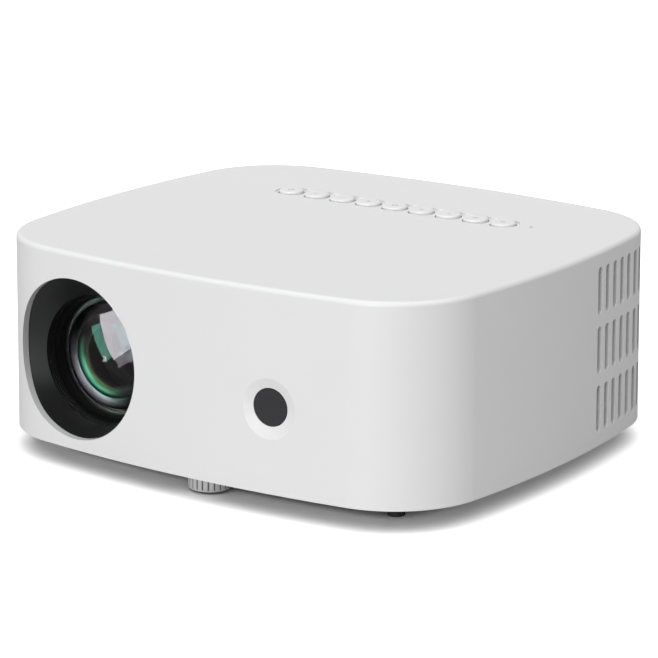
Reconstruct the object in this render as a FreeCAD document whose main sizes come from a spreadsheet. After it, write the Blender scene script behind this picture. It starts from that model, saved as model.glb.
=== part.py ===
import FreeCAD, Part
import math
import os
import Sketcher

# A compact home projector with a tray disc player in its back.
# X runs across the front, the lens looks along -Y, Z is up, the floor is Z = 0.
# Millimetres. Every size that can be set by itself is a cell of the sheet "Sizes".

os.makedirs("parts", exist_ok=True)
doc = FreeCAD.newDocument("Projector")

sizes = {
    # housing: a bowed rounded rectangle, drafted so that it widens downwards
    "bodyWidth": 230.0, "bodyDepth": 203.7, "bodyHeight": 83.0, "footHeight": 9.4,
    "sideArc": 464.5, "frontArc": 567.0, "cornerRadius": 41.0, "draftAngle": 0.55,
    "topFillet": 2.0, "wall": 3.0, "fitGap": 0.3, "seatGap": 0.1, "runGap": 0.05,
    # base cover, its belly and ribs
    "baseRecess": 0.8, "baseThickness": 2.5, "bellyInset": 15.0, "bellyDepth": 5.6,
    "bellyTaper": 35.0, "bellyWall": 6.0, "ribThickness": 1.6, "ribPitch": 32.0,
    "intakeSlotWidth": 3.0, "intakeSlotLength": 19.0, "intakeSlotPitch": 7.0,
    "intakeX": 34.0, "intakeColumns": 4.0,
    "postRadius": 4.0, "postHoleRadius": 1.3, "frontPostInsetX": 13.0, "frontPostInsetY": 51.85,
    "rearPostInsetX": 23.5, "rearPostInsetY": 21.85,
    "screwRadius": 1.25, "screwHeadRadius": 2.6, "screwHeadHeight": 1.6, "screwLength": 12.0,
    # feet
    "footInsetX": 34.3, "footInsetY": 32.55, "footRadius": 4.0, "footTipRadius": 3.6,
    "wheelX": 1.1, "wheelInsetY": 16.75, "wheelRadius": 9.1, "wheelHeight": 8.0, "wheelWellGap": 2.0,
    "wheelChamfer": 0.4, "wheelRim": 0.9,
    "padThickness": 0.9, "padRadius": 5.0, "padPegRadius": 2.0, "padPegHeight": 2.5,
    "studRadius": 4.0, "studLength": 17.0, "studBossRadius": 7.0, "studBossHeight": 18.0,
    "footTravel": 10.0, "wellBlockHalf": 13.5,
    "knurlRadius": 0.35, "knurlCount": 23.0, "knurlStart": 4.0,
    "insertX": -9.0, "insertY": -22.0, "insertRadius": 4.6, "insertBore": 3.0,
    "insertLength": 11.0, "insertBossWall": 2.6,
    # lens
    "lensInsetX": 57.1, "lensHeight": 34.3, "lensHoleHeight": 38.3, "lensHoleRadius": 33.7,
    "hoodWall": 1.5, "hoodThroatRadius": 27.7, "hoodThroatInset": 18.35, "hoodRearInset": 23.85,
    "hoodGrooveDepth": 0.35, "hoodGroovePitch": 1.3,
    "barrelRadius": 28.6, "barrelFrontInset": 24.25, "barrelStepInset": 51.85,
    "barrelRearInset": 65.85,
    "barrelRearRadius": 21.0, "barrelWall": 2.0, "focusTravel": 6.0,
    "mountWall": 2.0, "mountRearInset": 60.25, "mountFootWidth": 50.0, "mountFootDepth": 14.0,
    "frontLensInset": 26.85, "frontLensRadius": 25.8, "frontLensEdge": 3.0,
    "frontLensFrontSag": 5.0, "frontLensRearSag": 2.0, "retainerLength": 2.0,
    "retainerRadius": 26.9, "retainerBore": 24.8, "barrelBore": 23.3, "middleLensInset": 35.85,
    "middleLensRadius": 22.0, "middleLensEdge": 2.2, "middleLensFrontSag": 2.4,
    "middleLensRearSag": 3.0, "middleBore": 19.5, "stopRadius": 14.65, "stopInset": 31.25,
    "stopThickness": 0.8, "lensRelief": 0.8,
    "rearLensInset": 54.55, "rearLensRadius": 17.5, "rearLensEdge": 2.6, "rearLensSag": 3.4,
    "rearLensLip": 2.0,
    "focusOffset": 38.5, "focusScrewRadius": 1.5, "focusMotorRadius": 7.5,
    "focusMotorLength": 11.0, "focusLug": 2.0, "focusLugWidth": 16.0, "focusArm": 6.0,
    "focusArmInset": 45.85, "focusArmThickness": 4.0,
    # sensor window in the front
    "windowInsetX": 73.2, "windowHeight": 35.1, "windowRadius": 7.55, "windowDishRadius": 12.4,
    "windowInset": 1.2, "windowThickness": 2.4, "windowFlange": 2.4,
    # keys on top
    "keyX": 1.1, "keyInsetY": 54.85, "keyPitch": 13.74, "keyCount": 9.0, "keyRadius": 5.4,
    "keyProud": 0.7, "keyRim": 0.7, "keyGap": 0.45, "keyFlangeRadius": 6.4, "keyFlangeHeight": 1.4,
    "keyTravel": 0.6, "keyRecessDepth": 0.6, "keyRecessRadius": 7.2, "keyStemRadius": 1.8,
    "keyStemLength": 2.1, "switchSize": 5.0, "switchHeight": 1.9, "boardThickness": 1.6,
    "keyBoardWidth": 14.0, "keyBoardMargin": 13.0, "boardPostRadius": 2.2,
    "pipeX": 69.2, "pipeAhead": 1.0, "pipeRadius": 0.75, "pipeFlangeRadius": 2.0,
    # vent slots in the side walls
    "ventY": 28.9, "ventPitch": 7.0, "ventColumns": 7.0, "ventRows": 3.0,
    "ventMargin": 7.0, "ventRowGap": 4.8, "ventFootroom": 8.0, "ventWidth": 3.7,
    "screenThickness": 1.0, "screenMargin": 3.0,
    # light engine
    "engineInsetLeft": 18.0, "engineInsetRight": 53.0, "engineFront": -8.0, "engineBack": 64.0,
    "engineWall": 2.0, "lidPadHeight": 2.0, "lidThickness": 2.0, "collarRadius": 24.0,
    "collarGap": 2.0, "mirrorLength": 84.0, "mirrorThickness": 2.0,
    "opticHeadroom": 2.3, "fieldLensShare": 0.083, "panelShare": 0.16, "collimatorShare": 0.2375,
    "heatGlassShare": 0.381, "condenserShare": 0.613, "condenserRadius": 20.0, "condenserSag": 8.0,
    "condenserEdge": 3.0, "fresnelThickness": 2.0, "panelThickness": 3.0,
    "panelActiveWidth": 58.0, "panelActiveHeight": 36.0, "grooveDepth": 1.2,
    "ledBoard": 30.0, "ledRadius": 7.0, "sinkDepth": 50.0, "sinkBase": 4.0, "finLength": 17.0,
    "finThickness": 1.2, "finPitch": 4.4, "finCount": 12.0,
    "fanSize": 60.0, "fanThickness": 15.0, "fanInsetX": 29.0, "fanY": 42.0, "fanRadius": 27.0,
    "fanHubRadius": 11.0, "fanBladeCount": 7.0, "fanShaftRadius": 1.5, "fanBore": 28.5,
    "fanHubDepth": 3.5, "fanHoleRadius": 2.2, "fanHoleInset": 5.0, "bladeRootPitch": 40.0,
    "bladeTipPitch": 24.0, "bladeRootChord": 9.5, "bladeTipChord": 15.0, "bladeThickness": 1.2,
    # disc player
    "railRoom": 2.7, "driveHeadroom": 21.4, "driveHeight": 12.8, "drivePanEdge": 2.7,
    "driveInset": 7.25, "sheetThickness": 0.8, "trayBackEdge": 1.3, "discRadius": 60.3,
    "traySideEdge": 1.0, "trayFrontEdge": 1.2, "trayPlate": 1.6, "trayPlateZ": 5.8,
    "notchReach": 44.0, "notchRadius": 9.0, "smallDiscRadius": 40.3, "smallDiscStep": 0.6,
    "trayRim": 2.0, "traySkirt": 3.4, "skirtThickness": 1.5, "railThickness": 1.4,
    "railHeight": 3.0, "railShort": 5.7,
    "bezelOverlap": 2.0, "bezelGap": 0.5, "bezelMargin": 0.4,
    "bezelInset": 6.65, "ejectX": 44.0, "ejectWidth": 9.0, "ejectHeight": 3.2,
    "ejectTravel": 0.8, "hubRadius": 7.3, "hubHeight": 4.6, "spindleRadius": 12.0,
    "spindleHeight": 4.0, "mechAngle": 135.0, "pickupStart": 24.0, "pickupEnd": 54.0,
    "pickupLength": 14.0, "pickupWidth": 30.0, "rodRadius": 1.0, "rodOffset": 13.5,
    "screwOffset": 17.5, "feedScrewRadius": 1.2, "feedMotorRadius": 2.1, "feedMotorLength": 10.0,
    # ports in the back and the boards
    "portHalfWidth": 62.0, "portBottom": 18.0, "portTop": 50.0, "portFloorInset": 8.55,
    "portPlate": 2.0, "portRim": 4.0, "portHeight": 31.0,
    "hdmiX": -40.0, "hdmiPitch": 20.0, "hdmiWidth": 15.0, "hdmiHeight": 6.0,
    "usbX": -1.0, "usbWidth": 14.2, "usbHeight": 6.8, "jackX": 15.0, "jackPitch": 11.0,
    "jackRadius": 3.2, "jackBore": 1.8, "jackBody": 8.0, "inletX": 46.0, "inletWidth": 20.0,
    "inletHeight": 12.0, "inletFlange": 3.0, "mainBoardInset": 17.85, "mainBoardRight": 33.0,
    "mainBoardTop": 58.0, "powerLeft": 12.0, "powerInsetRight": 27.0, "powerInsetFront": 19.85,
    "powerDepth": 56.0, "standoffRadius": 2.6, "standoffHeight": 5.0,
    # loudspeaker
    "speakerY": 45.0, "speakerRadius": 17.0, "speakerDepth": 6.0, "speakerInset": 15.5,
}


class Size:
    """A number that also carries the sheet expression it was worked out with."""

    def __init__(self, value, text):
        self.value = float(value)
        self.text = text

    def __float__(self):
        return self.value

    def __neg__(self):
        return Size(-self.value, "(-%s)" % self.text)

    def __add__(self, other):
        other = asSize(other)
        return Size(self.value + other.value, "(%s + %s)" % (self.text, other.text))

    def __sub__(self, other):
        other = asSize(other)
        return Size(self.value - other.value, "(%s - %s)" % (self.text, other.text))

    def __mul__(self, other):
        other = asSize(other)
        return Size(self.value * other.value, "(%s * %s)" % (self.text, other.text))

    def __truediv__(self, other):
        other = asSize(other)
        return Size(self.value / other.value, "(%s / %s)" % (self.text, other.text))

    def __radd__(self, other):
        return asSize(other) + self

    def __rsub__(self, other):
        return asSize(other) - self

    def __rmul__(self, other):
        return asSize(other) * self


def asSize(number):
    if isinstance(number, Size):
        return number
    return Size(number, "(%r)" % float(number))


def root(size):
    return Size(math.sqrt(size.value), "sqrt(%s)" % size.text)


def tangent(angle):
    return Size(math.tan(math.radians(angle.value)), "tan(%s * 1 deg)" % angle.text)


def cosine(angle):
    return Size(math.cos(math.radians(angle.value)), "cos(%s * 1 deg)" % angle.text)


def sine(angle):
    return Size(math.sin(math.radians(angle.value)), "sin(%s * 1 deg)" % angle.text)


def arcsine(ratio):
    """In degrees."""
    return Size(math.degrees(math.asin(ratio.value)), "(asin(%s) / 1 deg)" % ratio.text)


class Sheet:
    """The driving sizes by name."""


sheet = doc.addObject("Spreadsheet::Sheet", "Sizes")
d = Sheet()
for row, (name, value) in enumerate(sizes.items(), start=1):
    sheet.set("A%d" % row, name)
    sheet.set("B%d" % row, str(value))
    sheet.setAlias("B%d" % row, name)
    setattr(d, name, Size(value, "Sizes." + name))
doc.recompute()

Z = FreeCAD.Vector(0, 0, 1)
nodes = []


# ---------------------------------------------------------------- helpers

def bind(thing, prop, size):
    """Tie a property to the sheet."""
    thing.setExpression(prop, asSize(size).text)


def named(thing, label):
    """Mark a finished sub-part: its label names its file."""
    thing.Label = label
    nodes.append(thing)
    return thing


def newBody(label):
    return doc.addObject("PartDesign::Body", label + "_body")


def originPlane(body, role):
    return [f for f in body.Origin.OriginFeatures if f.Role == role][0]


def newSketch(body, plane, across=0, up=0, out=0, turned=0):
    """A sketch on an origin plane, shifted along the plane and out of it.
    XY looks down Z; on XZ x is X and y is Z, out is -Y; on YZ x is Y and y is Z, out is X."""
    sketch = body.newObject("Sketcher::SketchObject", "Sketch")
    sketch.AttachmentSupport = [(originPlane(body, plane + "_Plane"), "")]
    sketch.MapMode = "FlatFace"
    rotation = FreeCAD.Rotation(Z, float(turned))
    sketch.AttachmentOffset = FreeCAD.Placement(FreeCAD.Vector(), rotation)
    for axis, size in (("x", across), ("y", up), ("z", out)):
        bind(sketch, "AttachmentOffset.Base." + axis, size)
    if isinstance(turned, Size):
        bind(sketch, "AttachmentOffset.Rotation.Angle", turned)
    return sketch


def constrain(sketch, kind, first, value):
    """Add a constraint whose value follows the sheet."""
    size = asSize(value)
    index = sketch.addConstraint(Sketcher.Constraint(kind, *first, size.value))
    sketch.setExpression("Constraints[%d]" % index, size.text)


def pin(sketch, geometry, position, x, y):
    """Hold a point of the sketch at x, y."""
    for kind, size, axis in (("DistanceX", asSize(x), -2), ("DistanceY", asSize(y), -1)):
        if size.value == 0:
            sketch.addConstraint(Sketcher.Constraint("PointOnObject", geometry, position, axis))
        elif size.value > 0:
            constrain(sketch, kind, (-1, 1, geometry, position), size)
        else:
            constrain(sketch, kind, (geometry, position, -1, 1), -size)


def vector(point):
    return FreeCAD.Vector(float(point[0]), float(point[1]), 0)


def circle(sketch, x, y, radius):
    shape = Part.Circle(vector((x, y)), Z, float(radius))
    index = sketch.addGeometry(shape)
    pin(sketch, index, 3, x, y)
    constrain(sketch, "Radius", (index,), radius)
    return index


def profile(sketch, points):
    """A closed outline. A point is (x, y), or (x, y, radius) when an arc leads to it:
    a positive radius turns left on the way, a negative one turns right."""
    indices = []
    for here, there in zip(points, points[1:] + points[:1]):
        start = vector(here)
        end = vector(there)
        if len(there) == 3:
            radius = float(there[2])
            chord = end - start
            side = FreeCAD.Vector(-chord.y, chord.x, 0).normalize()
            rise = math.sqrt(max(radius ** 2 - (chord.Length / 2) ** 2, 0.0))
            centre = (start + end) / 2 + side * math.copysign(rise, radius)
            first, last = (start, end) if radius > 0 else (end, start)
            a0 = math.atan2(first.y - centre.y, first.x - centre.x)
            a1 = math.atan2(last.y - centre.y, last.x - centre.x)
            round_ = Part.Circle(centre, Z, abs(radius))
            index = sketch.addGeometry(Part.ArcOfCircle(round_, a0, a1))
            size = there[2] if radius > 0 else -asSize(there[2])
            constrain(sketch, "Radius", (index,), size)
            indices.append((index, 1, 2) if radius > 0 else (index, 2, 1))
        else:
            index = sketch.addGeometry(Part.LineSegment(start, end))
            indices.append((index, 1, 2))
    for number, (index, first, last) in enumerate(indices):
        pin(sketch, index, first, points[number][0], points[number][1])
        following = indices[(number + 1) % len(indices)]
        link = Sketcher.Constraint("Coincident", index, last, following[0], following[1])
        sketch.addConstraint(link)


def rectangle(sketch, x0, x1, y0, y1, radius=None):
    if radius is None:
        profile(sketch, [(x0, y0), (x1, y0), (x1, y1), (x0, y1)])
        return
    profile(sketch, [(x0 + radius, y0, radius), (x1 - radius, y0), (x1, y0 + radius, radius),
                     (x1, y1 - radius), (x1 - radius, y1, radius), (x0 + radius, y1),
                     (x0, y1 - radius, radius), (x0, y0 + radius)])


def slot(sketch, x0, y0, x1, y1, radius):
    """A round-ended slot between two centres on one line along x or y."""
    upright = abs(float(x1) - float(x0)) < abs(float(y1) - float(y0))
    turn = 0.0 if upright else -math.pi / 2
    far = Part.ArcOfCircle(Part.Circle(vector((x1, y1)), Z, float(radius)), turn, turn + math.pi)
    near = Part.ArcOfCircle(Part.Circle(vector((x0, y0)), Z, float(radius)),
                            turn + math.pi, turn + 2 * math.pi)
    a = sketch.addGeometry(far)
    b = sketch.addGeometry(near)
    left = sketch.addGeometry(Part.LineSegment(far.EndPoint, near.StartPoint))
    right = sketch.addGeometry(Part.LineSegment(near.EndPoint, far.StartPoint))
    pin(sketch, a, 3, x1, y1)
    pin(sketch, b, 3, x0, y0)
    constrain(sketch, "Radius", (a,), radius)
    sketch.addConstraint(Sketcher.Constraint("Equal", a, b))
    for first, p, second, q in ((a, 2, left, 1), (left, 2, b, 1), (b, 2, right, 1), (right, 2, a, 1)):
        sketch.addConstraint(Sketcher.Constraint("Tangent", first, p, second, q))


def feature(body, kind, sketch, **settings):
    """A PartDesign feature on a sketch; sizes are bound, the rest is set."""
    item = body.newObject("PartDesign::" + kind, kind)
    item.Profile = sketch
    for name, value in settings.items():
        if isinstance(value, Size):
            bind(item, name, value)
        else:
            setattr(item, name, value)
    sketch.Visibility = False
    return item


def pad(body, sketch, length, **settings):
    return feature(body, "Pad", sketch, Length=asSize(length), **settings)


def pocket(body, sketch, length, **settings):
    return feature(body, "Pocket", sketch, Length=asSize(length), **settings)


def revolve(body, sketch, axis, kind="Revolution"):
    item = feature(body, kind, sketch)
    item.ReferenceAxis = (sketch, [axis])
    item.Angle = 360
    return item


def box(x0, x1, y0, y1, z0, z1):
    """A block by its six faces."""
    item = doc.addObject("Part::Box", "Block")
    for prop, low, high in (("Length", x0, x1), ("Width", y0, y1), ("Height", z0, z1)):
        bind(item, prop, asSize(high) - low)
    for axis, low in (("x", x0), ("y", y0), ("z", z0)):
        bind(item, "Placement.Base." + axis, low)
    return item


def blockOnBearing(origin, angle, along, across, z0, z1):
    """A block laid along a bearing in plan, by its faces along and across that bearing."""
    item = doc.addObject("Part::Box", "Block")
    bind(item, "Length", asSize(along[1]) - along[0])
    bind(item, "Width", asSize(across[1]) - across[0])
    bind(item, "Height", asSize(z1) - z0)
    item.Placement = FreeCAD.Placement(FreeCAD.Vector(), FreeCAD.Rotation(Z, float(angle)))
    bind(item, "Placement.Rotation.Angle", angle)
    bind(item, "Placement.Base.x", origin[0] + along[0] * cosine(angle) - across[0] * sine(angle))
    bind(item, "Placement.Base.y", origin[1] + along[0] * sine(angle) + across[0] * cosine(angle))
    bind(item, "Placement.Base.z", z0)
    return item


turns = {
    "X": FreeCAD.Rotation(FreeCAD.Vector(0, 1, 0), 90),
    "Y": FreeCAD.Rotation(FreeCAD.Vector(1, 0, 0), -90),
    "Z": FreeCAD.Rotation(),
}


def rod(axis, x, y, z, radius, length):
    """A cylinder that starts at x, y, z and runs along an axis."""
    item = doc.addObject("Part::Cylinder", "Rod")
    item.Placement = FreeCAD.Placement(FreeCAD.Vector(), turns[axis])
    bind(item, "Radius", radius)
    bind(item, "Height", length)
    for name, size in (("x", x), ("y", y), ("z", z)):
        bind(item, "Placement.Base." + name, size)
    return item


def rodOnBearing(origin, angle, start, across, z, radius, length):
    """A level cylinder laid along a bearing in plan."""
    item = doc.addObject("Part::Cylinder", "Rod")
    lay = FreeCAD.Rotation(Z, float(angle)).multiply(turns["X"])
    item.Placement = FreeCAD.Placement(FreeCAD.Vector(), lay)
    bind(item, "Radius", radius)
    bind(item, "Height", length)
    bind(item, "Placement.Base.x", origin[0] + start * cosine(angle) - across * sine(angle))
    bind(item, "Placement.Base.y", origin[1] + start * sine(angle) + across * cosine(angle))
    bind(item, "Placement.Base.z", z)
    return item


def fuse(*parts):
    item = doc.addObject("Part::MultiFuse", "Joined")
    item.Shapes = list(parts)
    return item


def cut(base, *tools):
    item = doc.addObject("Part::Cut", "Trimmed")
    item.Base = base
    item.Tool = tools[0] if len(tools) == 1 else fuse(*tools)
    return item


def common(first, second):
    item = doc.addObject("Part::Common", "Shared")
    item.Base = first
    item.Tool = second
    return item


def group(*parts):
    """Separate solids that share one node."""
    item = doc.addObject("Part::Compound", "Set")
    item.Links = list(parts)
    return item


# ---------------------------------------------------------------- levels and the bowed outline

halfWidth = d.bodyWidth / 2
halfDepth = d.bodyDepth / 2
topZ = d.footHeight + d.bodyHeight
ceilingZ = topZ - d.wall

# what keeps its distance from a side wall
d.frontPostX = halfWidth - d.frontPostInsetX
d.rearPostX = halfWidth - d.rearPostInsetX
d.footX = halfWidth - d.footInsetX
d.lensX = d.lensInsetX - halfWidth
d.windowX = halfWidth - d.windowInsetX
d.engineLeft = halfWidth - d.engineInsetLeft
d.engineRight = halfWidth - d.engineInsetRight
d.fanX = halfWidth - d.fanInsetX
d.powerRight = halfWidth - d.powerInsetRight
d.speakerX = halfWidth - d.speakerInset

# what keeps its distance from the front, as a length forward of the middle
d.frontPostY = halfDepth - d.frontPostInsetY
d.wheelY = halfDepth - d.wheelInsetY
d.hoodThroatY = halfDepth - d.hoodThroatInset
d.hoodRearY = halfDepth - d.hoodRearInset
d.barrelFrontY = halfDepth - d.barrelFrontInset
d.barrelStepY = halfDepth - d.barrelStepInset
d.barrelRearY = halfDepth - d.barrelRearInset
d.mountRearY = halfDepth - d.mountRearInset
d.frontLensY = halfDepth - d.frontLensInset
d.middleLensY = halfDepth - d.middleLensInset
d.stopY = halfDepth - d.stopInset
d.rearLensY = halfDepth - d.rearLensInset
d.focusArmY = halfDepth - d.focusArmInset
d.powerFront = d.powerInsetFront - halfDepth
d.powerBack = d.powerFront + d.powerDepth

# what keeps its distance from the back
d.rearPostY = halfDepth - d.rearPostInsetY
d.footY = halfDepth - d.footInsetY
d.keyY = halfDepth - d.keyInsetY
d.pipeY = d.keyY + d.pipeAhead
d.driveBack = halfDepth - d.driveInset
d.bezelInner = halfDepth - d.bezelInset
d.portFloorY = halfDepth - d.portFloorInset
d.mainBoardY = halfDepth - d.mainBoardInset

# the drawer and its case are as large as the disc asks
d.trayHalfWidth = d.discRadius + d.traySideEdge
d.driveHalfWidth = d.trayHalfWidth + d.railRoom
d.bezelHalfWidth = d.driveHalfWidth + d.bezelOverlap
d.discY = d.driveBack - d.discRadius - d.trayBackEdge
d.trayFront = d.discY - d.discRadius - d.trayFrontEdge
d.driveFront = d.trayFront - d.drivePanEdge
d.driveBottom = ceilingZ - d.driveHeadroom
d.bezelBottom = d.driveBottom - d.bezelMargin
d.bezelTop = d.driveBottom + d.driveHeight + d.bezelMargin
d.railLength = d.bezelInner - d.trayFront - d.railShort

# the light engine fills the room under the drive; its plates share the path to the lamp
d.engineTop = d.driveBottom - d.lidPadHeight - d.lidThickness
d.mirrorY = (d.engineFront + d.engineBack) / 2
d.collarLength = d.engineFront + d.barrelRearY - d.focusTravel - d.collarGap
pathStart = d.lensX + d.mirrorLength * cosine(Size(45, "45")) / 2
pathLength = d.engineRight - pathStart
d.fieldLensX = pathStart + pathLength * d.fieldLensShare
d.panelX = pathStart + pathLength * d.panelShare
d.collimatorX = pathStart + pathLength * d.collimatorShare
d.heatGlassX = pathStart + pathLength * d.heatGlassShare
d.condenserX = pathStart + pathLength * d.condenserShare

# the vent rows divide the height of the wall
d.ventTop = d.bodyHeight - d.ventMargin
d.ventRowPitch = (d.bodyHeight - d.ventFootroom) / d.ventRows
d.ventLength = d.ventRowPitch - d.ventRowGap

baseBottom = d.footHeight + d.baseRecess
baseTop = baseBottom + d.baseThickness
d.opticHeight = d.engineTop - baseTop - d.engineWall - d.opticHeadroom
bellyBottom = baseBottom - d.bellyDepth
bellyFloor = bellyBottom + d.baseThickness
lensZ = d.footHeight + d.lensHeight
spread = (ceilingZ - baseTop) * tangent(d.draftAngle)
keyTop = topZ + d.keyProud
flangeTop = ceilingZ - d.fitGap
stemBottom = flangeTop - d.keyFlangeHeight - d.keyStemLength
keyBoardTop = stemBottom - d.keyTravel - d.seatGap - d.switchHeight
keyRowHalf = (d.keyCount - 1) / 2 * d.keyPitch
keyPlaces = [d.keyX - keyRowHalf + number * d.keyPitch for number in range(int(sizes["keyCount"]))]
keyBoardPosts = [d.keyX - keyRowHalf - d.keyPitch * 0.7, d.keyX + keyRowHalf + d.keyPitch * 1.45]
drawerHalf = d.bezelHalfWidth + d.bezelGap
drawerLow = d.bezelBottom - d.bezelGap
drawerHigh = d.bezelTop + d.bezelGap
postPlaces = [(-d.frontPostX, -d.frontPostY), (d.frontPostX, -d.frontPostY),
              (-d.rearPostX, d.rearPostY), (d.rearPostX, d.rearPostY)]
# the window's place on the front arc: height, distance from the arc's centre and bearing
windowZ = d.footHeight + d.windowHeight
windowFace = d.frontArc + (d.bodyHeight - d.windowHeight) * tangent(d.draftAngle)
windowTurn = arcsine(d.windowX / d.frontArc)


def drawOutline(sketch, inset):
    """Four shallow arcs joined by four corner arcs, all tangent, set in from the outer form."""
    front = d.frontArc - inset
    side = d.sideArc - inset
    corner = d.cornerRadius - inset
    frontY = d.frontArc - halfDepth
    sideX = d.sideArc - halfWidth
    # corner centre: where circles of radius (arc - corner) round both arc centres meet
    gapX = float(sideX)
    gapY = float(frontY)
    reach = math.hypot(gapX, gapY)
    nearSide = float(side) - float(corner)
    nearFront = float(front) - float(corner)
    along = (nearSide ** 2 - nearFront ** 2 + reach ** 2) / (2 * reach)
    off = math.sqrt(nearSide ** 2 - along ** 2)
    cornerX = -gapX + along * gapX / reach + off * gapY / reach
    cornerY = along * gapY / reach - off * gapX / reach
    sideTurn = math.atan2(-cornerY, cornerX + gapX)
    frontTurn = math.atan2(cornerX, gapY - cornerY)
    quarter = math.pi / 2
    arcs = [
        ((0, frontY), front, -quarter - frontTurn, -quarter + frontTurn),
        ((cornerX, cornerY), corner, -quarter + frontTurn, -sideTurn),
        ((-sideX, 0), side, -sideTurn, sideTurn),
        ((cornerX, -cornerY), corner, sideTurn, quarter - frontTurn),
        ((0, -frontY), front, quarter - frontTurn, quarter + frontTurn),
        ((-cornerX, -cornerY), corner, quarter + frontTurn, 2 * quarter - sideTurn),
        ((sideX, 0), side, 2 * quarter - sideTurn, 2 * quarter + sideTurn),
        ((-cornerX, cornerY), corner, 2 * quarter + sideTurn, 3 * quarter - frontTurn),
    ]
    indices = []
    for centre, radius, start, end in arcs:
        ring = Part.Circle(vector(centre), Z, float(radius))
        index = sketch.addGeometry(Part.ArcOfCircle(ring, start, end))
        constrain(sketch, "Radius", (index,), radius)
        if radius is not corner:
            pin(sketch, index, 3, centre[0], centre[1])
        indices.append(index)
    for here, there in zip(indices, indices[1:] + indices[:1]):
        sketch.addConstraint(Sketcher.Constraint("Tangent", here, 2, there, 1))
    return (cornerX, cornerY)


def outlineSolid(label, inset, top, depth):
    """The bowed outline carried down with the draft of the walls."""
    body = newBody(label)
    sketch = newSketch(body, "XY", out=top)
    drawOutline(sketch, inset)
    pad(body, sketch, depth, Reversed=True, TaperAngle=d.draftAngle)
    return body


def frontWallY(x, inset):
    """How far forward the front wall lies at x, as plain numbers; inset from its outer face."""
    front = float(d.frontArc)
    centreY = front - float(halfDepth)
    cornerX, cornerY = cornerCentre
    limit = cornerX * (front - inset) / math.hypot(cornerX, centreY - cornerY)
    if abs(x) <= limit:
        return centreY - math.sqrt((front - inset) ** 2 - x ** 2)
    reach = float(d.cornerRadius) - inset
    return cornerY - math.sqrt(reach ** 2 - (abs(x) - cornerX) ** 2)


def columnY(number):
    """Where a vent column stands: an even pitch along the side arc, then round the corner."""
    side = float(d.sideArc)
    cornerX, cornerY = cornerCentre
    turnEnd = math.atan2(-cornerY, cornerX + side - float(halfWidth))
    run = side * math.asin(float(d.ventY) / side) + number * float(d.ventPitch)
    beyond = run - side * turnEnd
    if beyond <= 0:
        return side * math.sin(run / side)
    return -cornerY + float(d.cornerRadius) * math.sin(turnEnd + beyond / float(d.cornerRadius))


# ---------------------------------------------------------------- housing

def makeUpperHousing():
    """One moulding: top and four drafted walls, open below."""
    body = newBody("upper_housing")
    outer = newSketch(body, "XY", out=topZ)
    centre = drawOutline(outer, asSize(0))
    shell = pad(body, outer, d.bodyHeight, Reversed=True, TaperAngle=d.draftAngle)
    doc.recompute()
    rim = ["Edge%d" % number for number, edge in enumerate(shell.Shape.Edges, start=1)
           if edge.BoundBox.ZMin > float(topZ) - 0.01]
    rounding = body.newObject("PartDesign::Fillet", "TopFillet")
    rounding.Base = (shell, rim)
    bind(rounding, "Radius", d.topFillet)
    inner = newSketch(body, "XY", out=ceilingZ)
    drawOutline(inner, d.wall)
    pocket(body, inner, d.bodyHeight, TaperAngle=d.draftAngle)
    return body, centre


def addPosts(body):
    """Four screw posts and two key board posts hang from the ceiling."""
    sketch = newSketch(body, "XY", out=baseTop)
    for x, y in postPlaces:
        circle(sketch, x, y, d.postRadius)
    pad(body, sketch, ceilingZ - baseTop + d.wall / 2)
    holes = newSketch(body, "XY", out=baseTop)
    for x, y in postPlaces:
        circle(holes, x, y, d.postHoleRadius)
    pocket(body, holes, d.screwLength + d.fitGap, Reversed=True)
    shorts = newSketch(body, "XY", out=keyBoardTop)
    for x in keyBoardPosts:
        circle(shorts, x, d.keyY, d.boardPostRadius)
    pad(body, shorts, ceilingZ - keyBoardTop + d.wall / 2)


def cutLensHole(body):
    sketch = newSketch(body, "XZ", out=halfDepth + 10)
    circle(sketch, d.lensX, d.footHeight + d.lensHoleHeight, d.lensHoleRadius)
    pocket(body, sketch, 10 + halfDepth - 65)


def cutWindowDish(body):
    """A shallow cone with a flat floor and a through hole, square to the bowed wall."""
    sketch = windowSketch(body)
    floor = windowFace - d.windowInset
    back = floor - d.wall - 2
    step = d.windowRadius + d.fitGap
    slope = (d.windowDishRadius - step) / d.windowInset
    profile(sketch, [(0, -back), (0, -windowFace - 2), (d.windowDishRadius + 2 * slope, -windowFace - 2),
                     (step, -floor), (step, -back)])
    revolve(body, sketch, "V_Axis", "Groove")


def windowSketch(body):
    """A level sketch whose y axis runs from the front arc's centre back through the window."""
    return newSketch(body, "XY", up=d.frontArc - halfDepth, out=windowZ, turned=windowTurn)


def makeSensorWindow():
    """A smoked disc in the dish, with a flange behind the wall."""
    body = newBody("sensor_window")
    sketch = windowSketch(body)
    front = windowFace - d.windowInset
    seat = windowFace - d.wall - d.seatGap * 2
    back = front - d.windowThickness - d.wall / 2
    profile(sketch, [(0, -front), (0, -back), (d.windowRadius + d.windowFlange, -back),
                     (d.windowRadius + d.windowFlange, -seat), (d.windowRadius, -seat),
                     (d.windowRadius, -front)])
    revolve(body, sketch, "V_Axis")
    return body


def cutKeyRow(body):
    recess = newSketch(body, "XY", out=topZ)
    slot(recess, keyPlaces[0], d.keyY, keyPlaces[-1], d.keyY, d.keyRecessRadius)
    pocket(body, recess, d.keyRecessDepth)
    holes = newSketch(body, "XY", out=topZ)
    for x in keyPlaces:
        circle(holes, x, d.keyY, d.keyRadius + d.keyGap)
    circle(holes, d.pipeX, d.pipeY, d.pipeRadius)
    pocket(body, holes, d.wall + 1)


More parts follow.
